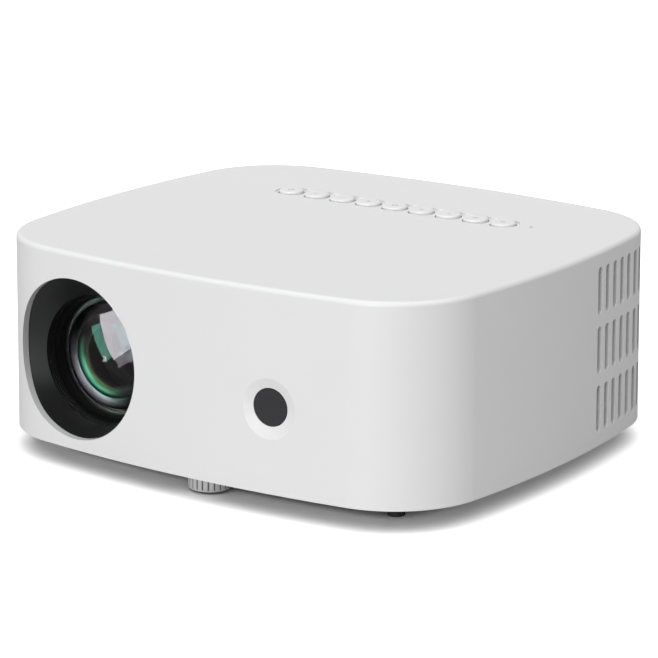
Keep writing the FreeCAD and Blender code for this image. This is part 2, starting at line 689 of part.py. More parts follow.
def cutVents(body):
    """Rows of upright slots through both side walls, pulled straight out sideways."""
    sketch = newSketch(body, "YZ")
    radius = d.ventWidth / 2
    for column in range(int(sizes["ventColumns"])):
        y = columnY(column)
        for row in range(int(sizes["ventRows"])):
            top = d.footHeight + d.ventTop - row * d.ventRowPitch - radius
            slot(sketch, y, top - d.ventLength + d.ventWidth, y, top, radius)
    pocket(body, sketch, d.bodyWidth + 20, SideType="Symmetric")


def cutRearOpenings(body):
    sketch = newSketch(body, "XZ", out=-(halfDepth + 10))
    rectangle(sketch, -drawerHalf, drawerHalf, drawerLow, drawerHigh, d.bezelGap * 2)
    rectangle(sketch, -d.portHalfWidth, d.portHalfWidth, d.portBottom, d.portTop, d.portRim / 2)
    pocket(body, sketch, 10 + halfDepth - 80, Reversed=True)


def makeBaseCover():
    """The underside: a plate inside the walls with a lower belly, ribs, bosses and an intake."""
    body = newBody("base_cover")
    inset = d.wall + d.fitGap - spread
    plate = newSketch(body, "XY", out=baseBottom)
    drawOutline(plate, inset)
    pad(body, plate, d.baseThickness)
    belly = newSketch(body, "XY", out=baseBottom)
    drawOutline(belly, d.bellyInset)
    pad(body, belly, d.bellyDepth, Reversed=True, TaperAngle=-d.bellyTaper)
    hollow = newSketch(body, "XY", out=baseTop)
    drawOutline(hollow, d.bellyInset + d.bellyWall)
    pocket(body, hollow, baseTop - bellyFloor)
    ribs = newSketch(body, "XY", out=bellyFloor)
    for row in (-2, -1, 0, 1, 2):
        reach = halfWidth - d.bellyInset - d.bellyWall + 0.5 - 5 * (abs(row) // 2)
        middle = row * d.ribPitch
        rectangle(ribs, -reach, reach, middle - d.ribThickness / 2, middle + d.ribThickness / 2)
    pad(body, ribs, baseTop - bellyFloor)
    bosses = newSketch(body, "XY", out=bellyBottom)
    circle(bosses, d.insertX, d.insertY, d.insertRadius + d.insertBossWall)
    rectangle(bosses, d.wheelX - d.wellBlockHalf, d.wheelX + d.wellBlockHalf,
              d.bellyInset + d.bellyWall - 1 - halfDepth,
              d.wheelRadius + d.wheelWellGap + d.baseThickness - d.wheelY)
    pad(body, bosses, baseTop - bellyBottom)
    standoffs = newSketch(body, "XY", out=bellyFloor)
    for x, y in standoffPlaces():
        circle(standoffs, x, y, d.standoffRadius)
    pad(body, standoffs, baseTop - bellyFloor + d.standoffHeight)
    stem = newSketch(body, "XY", out=baseTop)
    circle(stem, d.wheelX, -d.wheelY, d.studBossRadius)
    pad(body, stem, d.studBossHeight - d.baseThickness)
    insertBoss = newSketch(body, "XY", out=baseTop)
    circle(insertBoss, d.insertX, d.insertY, d.insertRadius + d.insertBossWall)
    pad(body, insertBoss, bellyBottom + d.insertLength + 2 - baseTop)
    well = newSketch(body, "XY", out=bellyBottom)
    circle(well, d.wheelX, -d.wheelY, d.wheelRadius + d.wheelWellGap)
    pocket(body, well, baseBottom - bellyBottom, Reversed=True)
    bores = newSketch(body, "XY", out=baseBottom)
    circle(bores, d.wheelX, -d.wheelY, d.studRadius + d.runGap)
    pocket(body, bores, d.studBossHeight + 1, Reversed=True)
    insertHole = newSketch(body, "XY", out=bellyBottom)
    circle(insertHole, d.insertX, d.insertY, d.insertRadius)
    pocket(body, insertHole, d.insertLength, Reversed=True)
    screws = newSketch(body, "XY", out=baseBottom)
    for x, y in postPlaces:
        circle(screws, x, y, d.screwRadius + d.fitGap)
    pocket(body, screws, baseTop - baseBottom, Reversed=True)
    intake = newSketch(body, "XY", out=bellyBottom)
    for side in (-1, 1):
        for number in range(int(sizes["intakeColumns"])):
            x = side * (d.intakeSlotPitch * number + d.intakeX)
            half = (d.intakeSlotLength - d.intakeSlotWidth) / 2
            slot(intake, x, d.ribPitch / 2 - half, x, d.ribPitch / 2 + half, d.intakeSlotWidth / 2)
    pocket(body, intake, d.baseThickness + 1, Reversed=True)
    return body


def makePortPanel(cavity):
    """A shallow dish behind the rear port opening; its rim follows the wall."""
    rimX = d.portHalfWidth + d.portRim
    block = box(-rimX, rimX, d.portFloorY, halfDepth, baseTop, d.portTop + d.portRim)
    bowl = box(-d.portHalfWidth, d.portHalfWidth, d.portFloorY + d.portPlate, halfDepth + 1,
               d.portBottom, d.portTop)
    holes = [portHole(place) for place in portPlaces]
    return cut(common(block, cavity), bowl, *holes)


def portHole(place):
    x, halfX, halfZ = place
    return box(x - halfX - d.seatGap, x + halfX + d.seatGap, d.portFloorY - 1, d.portFloorY + 4,
               d.portHeight - halfZ - d.seatGap, d.portHeight + halfZ + d.seatGap)


def makeVentScreens(cavity):
    """Curved mesh strips that lie against the walls behind the slots."""
    inner = outlineSolid("screenCore", d.wall + d.screenThickness, ceilingZ, d.bodyHeight)
    last = columnY(int(sizes["ventColumns"]) - 1)
    lowSlot = d.footHeight + d.ventTop - (d.ventRows - 1) * d.ventRowPitch - d.ventLength
    screens = []
    for side in (-1, 1):
        near = side * (halfWidth - 20)
        far = side * (halfWidth + 5)
        strip = box(min(near, far, key=float), max(near, far, key=float),
                    d.ventY - d.ventWidth / 2 - d.screenMargin, last + d.ventWidth / 2 + 1.5,
                    lowSlot - d.screenMargin + 1, ceilingZ - 1)
        screens.append(cut(common(strip, cavity), inner))
    return group(*screens)


def makeScrews():
    """Pan head screws that come up through the base into the posts."""
    items = []
    for x, y in postPlaces:
        head = rod("Z", x, y, baseBottom - d.screwHeadHeight, d.screwHeadRadius, d.screwHeadHeight)
        shank = rod("Z", x, y, baseBottom, d.screwRadius, d.baseThickness + d.screwLength)
        items.append(fuse(head, shank))
    return group(*items)


def turned(label, plane, across, up, out, axis, points):
    """A turned sub-part: its half section revolved about a sketch axis."""
    body = newBody(label)
    sketch = newSketch(body, plane, across, up, out)
    profile(sketch, points)
    revolve(body, sketch, axis)
    return body


def makeRubberFeet():
    feet = []
    for x in (-d.footX, d.footX):
        for y in (-d.footY, d.footY):
            foot = doc.addObject("Part::Cone", "Foot")
            bind(foot, "Radius1", d.footTipRadius)
            bind(foot, "Radius2", d.footRadius)
            bind(foot, "Height", bellyBottom)
            bind(foot, "Placement.Base.x", x)
            bind(foot, "Placement.Base.y", y)
            feet.append(foot)
    return group(*feet)


def makeHeightWheel():
    """A ribbed hand wheel on a stud; the pad below it stays still while it turns."""
    body = newBody("height_wheel")
    low = d.padThickness
    high = low + d.wheelHeight
    section = newSketch(body, "XZ", d.wheelX, 0, d.wheelY)
    profile(section, [(d.padPegRadius + d.runGap, low), (d.wheelRadius - d.wheelChamfer, low),
                      (d.wheelRadius, low + d.wheelChamfer), (d.wheelRadius, high),
                      (d.studRadius, high), (d.studRadius, high + d.studLength),
                      (0, high + d.studLength), (0, low + d.padPegHeight + d.runGap),
                      (d.padPegRadius + d.runGap, low + d.padPegHeight + d.runGap)])
    revolve(body, section, "V_Axis")
    rib = newSketch(body, "XY", d.wheelX, -d.wheelY, low + d.wheelRim)
    circle(rib, d.wheelRadius * cosine(d.knurlStart), d.wheelRadius * sine(d.knurlStart),
           d.knurlRadius)
    groove = pocket(body, rib, d.wheelHeight, Reversed=True)
    around = body.newObject("PartDesign::PolarPattern", "Knurl")
    around.Originals = [groove]
    around.Axis = (rib, ["N_Axis"])
    around.Angle = 360
    bind(around, "Occurrences", d.knurlCount)
    body.Tip = around
    return body


def makeFootPad():
    return turned("foot_pad", "XZ", d.wheelX, 0, d.wheelY, "V_Axis",
                  [(0, 0), (d.padRadius, 0), (d.padRadius, d.padThickness - d.runGap),
                   (d.padPegRadius, d.padThickness - d.runGap),
                   (d.padPegRadius, d.padThickness + d.padPegHeight),
                   (0, d.padThickness + d.padPegHeight)])


def makeTripodInsert():
    body = newBody("tripod_insert")
    ring = newSketch(body, "XY", d.insertX, d.insertY, bellyBottom)
    circle(ring, 0, 0, d.insertRadius)
    circle(ring, 0, 0, d.insertBore)
    pad(body, ring, d.insertLength)
    return body


# ---------------------------------------------------------------- lens

def arcRadius(height, sag):
    """Radius of a lens face from its half width and its rise."""
    return (height * height + sag * sag) / (2 * sag)


def makeLensHood():
    """The funnel from the hole in the bowed wall down to the round throat.
    Its mouth follows the wall's curve, its throat is a flat circle lower down and further in,
    and straight lines join the two at equal bearings."""
    mouthZ = float(d.footHeight + d.lensHoleHeight)
    mouthRadius = float(d.lensHoleRadius - d.fitGap)
    throatY = -float(d.hoodThroatY)
    skin = float(d.hoodWall)
    inset = float(d.wall + d.seatGap)
    bearings = [2 * math.pi * step / 48 for step in range(48)]

    def mouth(extra):
        points = []
        for bearing in bearings:
            x = float(d.lensX) + (mouthRadius + extra) * math.cos(bearing)
            z = mouthZ + (mouthRadius + extra) * math.sin(bearing)
            lean = (float(ceilingZ) - z) * math.tan(math.radians(float(d.draftAngle)))
            points.append(FreeCAD.Vector(x, frontWallY(x, inset) - lean, z))
        return closedCurve(points)

    def throat(extra):
        radius = float(d.hoodThroatRadius) + extra
        return closedCurve([FreeCAD.Vector(float(d.lensX) + radius * math.cos(bearing), throatY,
                                           float(lensZ) + radius * math.sin(bearing))
                            for bearing in bearings])

    rings = [mouth(0), throat(0), throat(skin), mouth(skin)]
    faces = [Part.makeRuledSurface(here, there)
             for here, there in zip(rings, rings[1:] + rings[:1])]
    funnel = Part.makeSolid(Part.makeShell([face for skinFace in faces for face in skinFace.Faces]))
    if funnel.Volume < 0:
        funnel.reverse()
    item = doc.addObject("Part::Feature", "Funnel")
    item.Shape = funnel
    inner = d.hoodThroatRadius
    outer = inner + d.hoodWall
    points = [(-d.hoodThroatY, outer), (-d.hoodThroatY, inner)]
    for ring in range(3):
        low = -d.hoodThroatY + d.hoodGroovePitch * (ring + 0.5)
        high = low + d.hoodGroovePitch / 2
        points += [(low, inner), (low, inner + d.hoodGrooveDepth),
                   (high, inner + d.hoodGrooveDepth), (high, inner)]
    points += [(-d.hoodRearY, inner), (-d.hoodRearY, outer)]
    throatTube = turned("hood_throat", "YZ", 0, lensZ, d.lensX, "H_Axis", points)
    return fuse(item, throatTube)


def closedCurve(points):
    curve = Part.BSplineCurve()
    curve.interpolate(Points=points, PeriodicFlag=True)
    return curve.toShape()


def onLensAxis(label, points):
    """A piece turned about the lens axis; points are (y, radius)."""
    return turned(label, "YZ", 0, lensZ, d.lensX, "H_Axis", points)


def makeLensMount():
    """The fixed sleeve that the barrel slides in, with feet and two lugs for the focus screw."""
    inner = d.barrelRadius + d.fitGap
    outer = inner + d.mountWall
    sleeve = onLensAxis("mount_sleeve", [
        (-d.hoodRearY, inner), (-d.hoodRearY, outer), (-d.mountRearY, outer),
        (-d.mountRearY, d.barrelRearRadius + d.fitGap),
        (-mountStop, d.barrelRearRadius + d.fitGap), (-mountStop, inner)])
    pieces = [sleeve]
    for side in (-1, 1):
        near = d.lensX + side * d.mountFootWidth / 2
        far = near + side * 6
        pieces.append(box(min(near, far, key=float), max(near, far, key=float),
                          -d.hoodRearY + 8, -d.hoodRearY + 8 + d.mountFootDepth, baseTop, lensZ - 14))
    lugs = []
    for y in focusLugs:
        lugs.append(box(d.lensX + inner + 0.5, d.lensX + d.focusOffset + d.focusLugWidth / 2,
                        y, y + d.focusLug, lensZ - d.focusLugWidth / 2, lensZ + d.focusLugWidth / 2))
    bore = rod("Y", d.lensX + d.focusOffset, -d.hoodRearY, lensZ, d.focusScrewRadius + d.runGap,
               d.hoodRearY - d.mountRearY + 5)
    window = box(d.lensX + inner - 2, d.lensX + outer + 2, -d.focusArmY - d.fitGap,
                 -d.focusArmY + d.focusArmThickness + d.focusTravel + d.fitGap,
                 lensZ - d.focusArm / 2 - d.fitGap, lensZ + d.focusArm / 2 + d.fitGap)
    return cut(fuse(*pieces, *lugs), bore, window)


def makeLensBarrel():
    """The sliding barrel: seats for three lenses and an arm with the focus nut."""
    tube = onLensAxis("barrel_tube", [
        (-d.barrelFrontY, d.retainerRadius + d.seatGap), (retainerRear, d.retainerRadius + d.seatGap),
        (retainerRear, d.frontLensRadius + d.seatGap),
        (-d.frontLensY + d.frontLensEdge, d.frontLensRadius + d.seatGap),
        (-d.frontLensY + d.frontLensEdge, d.barrelBore),
        (-d.stopY, d.barrelBore), (-d.stopY, d.middleLensRadius + d.seatGap),
        (middleSeat, d.middleLensRadius + d.seatGap), (middleSeat, d.middleBore),
        (rearSeat - d.rearLensLip, d.middleBore),
        (rearSeat - d.rearLensLip, d.rearLensRadius - d.rearLensLip),
        (rearSeat, d.rearLensRadius - d.rearLensLip), (rearSeat, d.rearLensRadius + d.seatGap),
        (-d.barrelRearY, d.rearLensRadius + d.seatGap), (-d.barrelRearY, d.barrelRearRadius),
        (-d.barrelStepY, d.barrelRearRadius), (-d.barrelStepY, d.barrelRadius),
        (-d.barrelFrontY, d.barrelRadius)])
    arm = box(d.lensX + d.barrelRadius - 1, d.lensX + d.focusOffset + d.focusArm / 2 + 1,
              -d.focusArmY, -d.focusArmY + d.focusArmThickness,
              lensZ - d.focusArm / 2, lensZ + d.focusArm / 2)
    nut = rod("Y", d.lensX + d.focusOffset, -d.focusArmY - 1, lensZ,
              d.focusScrewRadius + d.runGap, d.focusArmThickness + 2)
    return cut(fuse(tube, arm), nut)


def makeFrontLens():
    radius = d.frontLensRadius
    front = -d.frontLensY
    rear = front + d.frontLensEdge
    return onLensAxis("front_lens", [
        (front - d.frontLensFrontSag, 0), (front, radius, -arcRadius(radius, d.frontLensFrontSag)),
        (rear, radius), (rear - d.frontLensRearSag, 0, arcRadius(radius, d.frontLensRearSag))])


def biconvex(label, front, radius, edge, frontSag, rearSag):
    return onLensAxis(label, [
        (front - frontSag, 0), (front, radius, -arcRadius(radius, frontSag)),
        (front + edge, radius), (front + edge + rearSag, 0, -arcRadius(radius, rearSag))])


def makeRetainers():
    """The ring that holds the front lens, bevelled towards the glass, and the inner one,
    which holds the middle lens and is the aperture stop."""
    front = onLensAxis("front_ring", [
        (-d.barrelFrontY, d.retainerBore + d.retainerLength / 2), (-d.barrelFrontY, d.retainerRadius),
        (retainerRear, d.retainerRadius), (retainerRear, d.retainerBore)])
    lensTouch = -d.middleLensY - 0.6
    inner = onLensAxis("stop_ring", [
        (-d.stopY, d.stopRadius), (-d.stopY, d.middleLensRadius), (lensTouch, d.middleLensRadius),
        (lensTouch, d.middleBore), (-d.stopY + d.stopThickness, d.middleBore),
        (-d.stopY + d.stopThickness, d.stopRadius)])
    return group(front, inner)


retainerRear = -d.barrelFrontY + d.retainerLength
middleSeat = -d.middleLensY + d.middleLensEdge + d.lensRelief
rearSeat = -d.rearLensY - d.lensRelief
mountStop = d.mountRearY + d.mountWall + d.runGap
focusMotorFace = -d.hoodRearY + 14.0
focusLugs = [focusMotorFace, -d.mountRearY - d.focusLug - 0.4]


def makeFocusMotor():
    return rod("Y", d.lensX + d.focusOffset, focusMotorFace - d.focusMotorLength, lensZ,
               d.focusMotorRadius, d.focusMotorLength)


def makeFocusScrew():
    start = focusMotorFace + d.seatGap
    return rod("Y", d.lensX + d.focusOffset, start, lensZ, d.focusScrewRadius,
               -d.mountRearY - start)


# ---------------------------------------------------------------- light engine

def makeEngineCase():
    """The optical tub: open top, a collar to the lens, a lamp window and a bulkhead."""
    t = d.engineWall
    left = -d.engineLeft
    tub = box(left, d.engineRight, d.engineFront, d.engineBack, baseTop, d.engineTop)
    hollow = box(left + t, d.condenserX, d.engineFront + t, d.engineBack - t, engineFloor,
                 d.engineTop + 1)
    lampRoom = box(d.condenserX + t, d.engineRight - t, d.engineFront + t, d.engineBack - t,
                   engineFloor, d.engineTop + 1)
    collar = rod("Y", d.lensX, d.engineFront - d.collarLength, lensZ, d.collarRadius,
                 d.collarLength)
    throat = rod("Y", d.lensX, d.engineFront - d.collarLength - 1, lensZ, d.collarRadius - t,
                 d.collarLength + t + 2)
    aperture = rod("X", d.condenserX - 1, d.mirrorY, lensZ, d.condenserRadius - t, t + 2)
    half = d.ledBoard / 2 + d.seatGap
    window = box(d.engineRight - t - 1, d.engineRight + 1, d.mirrorY - half, d.mirrorY + half,
                 lensZ - half, lensZ + half)
    return cut(fuse(tub, collar), hollow, lampRoom, throat, aperture, window)


def makeEngineLid():
    """The lid, with four pads that carry the disc player."""
    plate = box(-d.engineLeft, d.engineRight, d.engineFront, d.engineBack, d.engineTop, lidTop)
    pads = []
    for x in (-d.driveHalfWidth + 8, d.engineRight - 10):
        for y in (d.engineFront + 6, d.engineBack - 12):
            pads.append(box(x, x + 8, y, y + 6, lidTop, d.driveBottom))
    return fuse(plate, *pads)


engineFloor = baseTop + d.engineWall
lidTop = d.engineTop + d.lidThickness


def opticPlate(x, thickness):
    """A flat optical element that stands in the tub across the light path."""
    return box(x - thickness / 2, x + thickness / 2, d.engineFront + d.engineWall + d.fitGap,
               d.engineBack - d.engineWall - d.fitGap, engineFloor, engineFloor + d.opticHeight)


def makeMirror():
    return blockOnBearing((d.lensX, d.mirrorY), Size(45, "45"),
                          (-d.mirrorLength / 2, d.mirrorLength / 2), (asSize(0), d.mirrorThickness),
                          engineFloor, engineFloor + d.opticHeight)


def makePanel():
    """The liquid crystal panel: a frame with the active glass set back in it."""
    frame = opticPlate(d.panelX, d.panelThickness)
    lit = box(d.panelX - d.panelThickness, d.panelX - d.panelThickness / 2 + 0.8,
              d.mirrorY - d.panelActiveWidth / 2, d.mirrorY + d.panelActiveWidth / 2,
              lensZ - d.panelActiveHeight / 2, lensZ + d.panelActiveHeight / 2)
    return cut(frame, lit)


def makeCondenser():
    """Plano-convex, flat against the bulkhead."""
    radius = d.condenserRadius
    flat = d.condenserX
    return turned("condenser_lens", "XZ", 0, lensZ, -d.mirrorY, "H_Axis", [
        (flat - d.condenserEdge - d.condenserSag, 0),
        (flat - d.condenserEdge, radius, -arcRadius(radius, d.condenserSag)), (flat, radius), (flat, 0)])


def makeLed():
    half = d.ledBoard / 2
    board = box(d.engineRight - d.boardThickness, d.engineRight, d.mirrorY - half, d.mirrorY + half,
                lensZ - half, lensZ + half)
    dome = doc.addObject("Part::Sphere", "Dome")
    bind(dome, "Radius", d.ledRadius)
    bind(dome, "Placement.Base.x", d.engineRight - d.boardThickness)
    bind(dome, "Placement.Base.y", d.mirrorY)
    bind(dome, "Placement.Base.z", lensZ)
    behind = box(d.engineRight - d.boardThickness, d.engineRight + d.ledRadius * 2,
                 d.mirrorY - half, d.mirrorY + half, lensZ - half, lensZ + half)
    return fuse(board, cut(dome, behind))


def makeHeatSink():
    """A base plate with a comb of fins towards the fan."""
    body = newBody("heat_sink")
    low = d.mirrorY - d.sinkDepth / 2
    plate = newSketch(body, "XY", out=baseTop)
    rectangle(plate, d.engineRight, d.engineRight + d.sinkBase, low, low + d.sinkDepth)
    pad(body, plate, d.engineTop - baseTop)
    fin = newSketch(body, "XY", out=baseTop)
    rectangle(fin, d.engineRight + d.sinkBase, d.engineRight + d.sinkBase + d.finLength,
              low, low + d.finThickness)
    blade = pad(body, fin, d.engineTop - baseTop)
    comb = body.newObject("PartDesign::LinearPattern", "Comb")
    comb.Originals = [blade]
    comb.Direction = (fin, ["V_Axis"])
    bind(comb, "Length", d.finPitch * (d.finCount - 1))
    bind(comb, "Occurrences", d.finCount)
    body.Tip = comb
    return body


def makeFanFrame():
    """A square frame with a round duct; four arms carry the motor hub on the outlet side."""
    half = d.fanSize / 2
    z = baseTop + half
    outlet = d.fanX + d.fanThickness
    off = half - d.fanHoleInset
    frame = cut(box(d.fanX, outlet, d.fanY - half, d.fanY + half, baseTop, baseTop + d.fanSize),
                rod("X", d.fanX - 1, d.fanY, z, d.fanBore, d.fanThickness + 2),
                *[rod("X", d.fanX - 1, d.fanY + across * off, z + up * off, d.fanHoleRadius,
                      d.fanThickness + 2) for across in (-1, 1) for up in (-1, 1)])
    hub = rod("X", fanHubFace, d.fanY, z, d.fanHubRadius, outlet - fanHubFace)
    reach = d.fanBore + 0.5
    armIn = outlet - 2
    level = box(armIn, outlet, d.fanY - reach, d.fanY + reach, z - 1.5, z + 1.5)
    upright = box(armIn, outlet, d.fanY - 1.5, d.fanY + 1.5, z - reach, z + reach)
    bearing = rod("X", fanHubFace - 1, d.fanY, z, d.fanShaftRadius + d.runGap,
                  outlet - fanHubFace - 0.5)
    return cut(fuse(frame, hub, level, upright), bearing)


fanHubFace = d.fanX + d.fanThickness - d.fanHubDepth


def makeFanRotor():
    """Hub, shaft and twisted blades; a blade is lofted from a steep root to a flatter tip."""
    z = float(baseTop + d.fanSize / 2)
    x0 = float(d.fanX) + 2
    x1 = float(fanHubFace - d.fitGap)
    along = FreeCAD.Vector(1, 0, 0)
    middle = FreeCAD.Vector(x0, float(d.fanY), z)
    hub = Part.makeCylinder(float(d.fanHubRadius), x1 - x0, middle, along)
    shaftStart = FreeCAD.Vector(x1, float(d.fanY), z)
    shaft = Part.makeCylinder(float(d.fanShaftRadius), float(d.fanHubDepth) - 1.5, shaftStart, along)

    def section(radius, pitch, chord):
        half = float(chord) / 2
        thin = float(d.bladeThickness) / 2
        turn = math.radians(float(pitch))
        dx = half * math.sin(turn)
        dy = half * math.cos(turn)
        nx = thin * math.cos(turn)
        ny = thin * math.sin(turn)
        centre = FreeCAD.Vector((x0 + x1) / 2, float(d.fanY), z + radius)
        corners = [(-dx - nx, dy - ny), (dx - nx, -dy - ny), (dx + nx, -dy + ny), (-dx + nx, dy + ny)]
        return Part.makePolygon([centre + FreeCAD.Vector(a, b, 0) for a, b in corners + corners[:1]])

    sections = [section(float(d.fanHubRadius) - 1.5, d.bladeRootPitch, d.bladeRootChord),
                section(float(d.fanRadius), d.bladeTipPitch, d.bladeTipChord)]
    blade = Part.makeLoft(sections, True, True)
    count = int(sizes["fanBladeCount"])
    blades = []
    for number in range(count):
        copy = blade.copy()
        copy.rotate(middle, along, 360.0 * number / count)
        blades.append(copy)
    item = doc.addObject("Part::Feature", "Rotor")
    item.Shape = hub.multiFuse([shaft] + blades).removeSplitter()
    return item


# ---------------------------------------------------------------- disc player

driveTop = d.driveBottom + d.driveHeight
trayLow = d.driveBottom + d.trayPlateZ
trayTop = trayLow + d.trayPlate + d.trayRim
trayFloor = trayLow + d.trayPlate
hubPoint = (asSize(0), d.discY)
mechZ = trayLow - 2.2
innerHalf = d.driveHalfWidth - d.sheetThickness


def makeDrivePan():
    """A folded sheet tub, open above and towards the drawer opening."""
    outer = box(-d.driveHalfWidth, d.driveHalfWidth, d.driveFront, d.driveBack, d.driveBottom,
                driveTop - d.sheetThickness)
    inner = box(-innerHalf, innerHalf, d.driveFront + d.sheetThickness, d.driveBack + 1,
                d.driveBottom + d.sheetThickness, driveTop)
    return cut(outer, inner)


def makeDriveCover():
    """The top sheet, with a round pressed step over the disc."""
    body = newBody("drive_cover")
    sheetSketch = newSketch(body, "XY", out=driveTop)
    rectangle(sheetSketch, -d.driveHalfWidth, d.driveHalfWidth, d.driveFront, d.driveBack)
    pad(body, sheetSketch, d.sheetThickness, Reversed=True)
    step = newSketch(body, "XY", out=driveTop)
    circle(step, 0, d.discY, d.discRadius - 6)
    pocket(body, step, d.sheetThickness / 3)
    return body


def makeDiscTray():
    """The drawer: a plate with a round disc well, side skirts and bearings for the mechanism."""
    body = newBody("disc_tray")
    plate = newSketch(body, "XY", out=trayLow)
    rectangle(plate, -d.trayHalfWidth, d.trayHalfWidth, d.trayFront, d.bezelInner)
    pad(body, plate, d.trayPlate + d.trayRim)
    well = newSketch(body, "XY", out=trayTop)
    circle(well, 0, d.discY, d.discRadius)
    pocket(body, well, d.trayRim)
    notches = newSketch(body, "XY", out=trayTop)
    for across in (-1, 1):
        for along in (-1, 1):
            circle(notches, across * d.notchReach, d.discY + along * d.notchReach, d.notchRadius)
    pocket(body, notches, d.trayRim)
    smallDisc = newSketch(body, "XY", out=trayFloor)
    circle(smallDisc, 0, d.discY, d.smallDiscRadius)
    pocket(body, smallDisc, d.smallDiscStep)
    skirts = newSketch(body, "XY", out=trayLow)
    for side in (-1, 1):
        near = side * (d.trayHalfWidth - d.skirtThickness)
        far = side * d.trayHalfWidth
        rectangle(skirts, min(near, far, key=float), max(near, far, key=float),
                  d.trayFront, d.bezelInner)
    pad(body, skirts, d.traySkirt, Reversed=True)
    spindle = newSketch(body, "XY", out=trayTop)
    circle(spindle, 0, d.discY, d.hubRadius + 1.5)
    pocket(body, spindle, d.trayPlate + d.trayRim)
    opening = newSketch(body, "XY", 0, d.discY, trayTop, turned=d.mechAngle)
    slot(opening, d.pickupStart, 0, d.pickupEnd, 0, 7)
    pocket(body, opening, d.trayPlate + d.trayRim)
    bearings = newSketch(body, "XY", 0, d.discY, trayLow, turned=d.mechAngle)
    for start in (rodStart, rodEnd - 3):
        for side in (-1, 1):
            middle = side * d.rodOffset
            rectangle(bearings, start, start + 3, middle - 1.7, middle + 1.7)
    rectangle(bearings, rodEnd - 3, rodEnd, d.screwOffset - 1.9, d.screwOffset + 2)
    pad(body, bearings, d.traySkirt, Reversed=True)
    holes = [rodOnBearing(hubPoint, d.mechAngle, rodStart - 1, side * d.rodOffset, mechZ,
                          d.rodRadius + 0.01, rodEnd - rodStart + 2) for side in (-1, 1)]
    screwHole = rodOnBearing(hubPoint, d.mechAngle, rodEnd - 4, d.screwOffset, mechZ,
                             d.feedScrewRadius + d.runGap, asSize(5))
    return cut(body, *holes, screwHole)


rodStart = d.pickupStart - d.pickupLength / 2 - 3.6
rodEnd = d.pickupEnd + d.pickupLength / 2 + 3.6


def makeTrayBezel(outer):
    """The drawer front: cut from the outer form, so that it lies flush with the bowed wall."""
    block = box(-d.bezelHalfWidth, d.bezelHalfWidth, d.bezelInner, halfDepth + 3,
                d.bezelBottom, d.bezelTop)
    hole = box(d.ejectX - d.ejectWidth / 2 - d.fitGap, d.ejectX + d.ejectWidth / 2 + d.fitGap,
               d.bezelInner - 1, halfDepth + 3, ejectZ - d.ejectHeight / 2 - d.fitGap,
               ejectZ + d.ejectHeight / 2 + d.fitGap)
    pinHole = rod("Y", d.ejectX - 12, d.bezelInner - 1, ejectZ, asSize(0.6), asSize(12))
    return cut(common(block, outer), hole, pinHole)


ejectZ = (d.bezelBottom + d.bezelTop) / 2


def makeEjectButton():
    body = newBody("eject_button")
    face = newSketch(body, "XZ", 0, 0, -(d.bezelInner + 1))
    slot(face, d.ejectX - d.ejectWidth / 2 + d.ejectHeight / 2, ejectZ,
         d.ejectX + d.ejectWidth / 2 - d.ejectHeight / 2, ejectZ, d.ejectHeight / 2)
    pad(body, face, halfDepth - 1 - d.bezelInner - 1, Reversed=True)
    return body


def makeTrayRails():
    gap = (innerHalf - d.trayHalfWidth - d.railThickness) / 2
    rails = []
    for side in (-1, 1):
        near = side * (d.trayHalfWidth + gap)
        far = near + side * d.railThickness
        rails.append(box(min(near, far, key=float), max(near, far, key=float), d.trayFront + 0.5,
                         d.trayFront + 0.5 + d.railLength, trayLow - d.railHeight / 2,
                         trayLow + d.railHeight / 2))
    return group(*rails)


def makeSpindleMotor():
    can = rod("Z", asSize(0), d.discY, trayLow - d.spindleHeight, d.spindleRadius, d.spindleHeight)
    bore = rod("Z", asSize(0), d.discY, trayLow - d.spindleHeight / 2, 1 + d.runGap, d.spindleHeight)
    return cut(can, bore)


def makeDiscHub():
    """The turntable: a flange under the disc, a collar that centres it, and a shaft."""
    low = trayLow + d.seatGap
    seat = trayFloor + 0.4
    high = low + d.hubHeight
    return turned("disc_hub", "XZ", 0, 0, -d.discY, "V_Axis", [
        (0, trayLow - d.spindleHeight / 2 + 0.2), (1, trayLow - d.spindleHeight / 2 + 0.2), (1, low),
        (d.hubRadius + 1, low), (d.hubRadius + 1, seat), (d.hubRadius, seat),
        (d.hubRadius, high - 1.6), (d.hubRadius - 1.6, high), (0, high)])


def makePickup():
    """The laser sled on two rods, with its lens turret in the opening and a nut on the screw."""
    start = d.pickupStart - d.pickupLength / 2
    end = d.pickupStart + d.pickupLength / 2
    top = trayLow - 0.4
    bottom = mechZ - 1.6
    sled = blockOnBearing(hubPoint, d.mechAngle, (start, end),
                          (-d.pickupWidth / 2, d.screwOffset + d.feedScrewRadius + 1), bottom, top)
    turret = rod("Z", hubPoint[0] + d.pickupStart * cosine(d.mechAngle),
                 hubPoint[1] + d.pickupStart * sine(d.mechAngle), bottom, asSize(4.5),
                 trayFloor - 0.6 - bottom)
    lens = rod("Z", hubPoint[0] + d.pickupStart * cosine(d.mechAngle),
               hubPoint[1] + d.pickupStart * sine(d.mechAngle), bottom, asSize(2),
               trayFloor - 0.1 - bottom)
    bores = [rodOnBearing(hubPoint, d.mechAngle, start - 1, side * d.rodOffset, mechZ,
                          d.rodRadius + d.runGap, d.pickupLength + 2) for side in (-1, 1)]
    nut = rodOnBearing(hubPoint, d.mechAngle, start - 1, d.screwOffset, mechZ,
                       d.feedScrewRadius + d.runGap, d.pickupLength + 2)
    return cut(fuse(sled, turret, lens), *bores, nut)


def makePickupRods():
    return group(*[rodOnBearing(hubPoint, d.mechAngle, rodStart, side * d.rodOffset, mechZ,
                                d.rodRadius, rodEnd - rodStart) for side in (-1, 1)])


feedStart = d.pickupStart - d.pickupLength / 2


def makeFeedMotor():
    return rodOnBearing(hubPoint, d.mechAngle, feedStart - d.feedMotorLength - 0.4, d.screwOffset,
                        mechZ, d.feedMotorRadius, d.feedMotorLength)


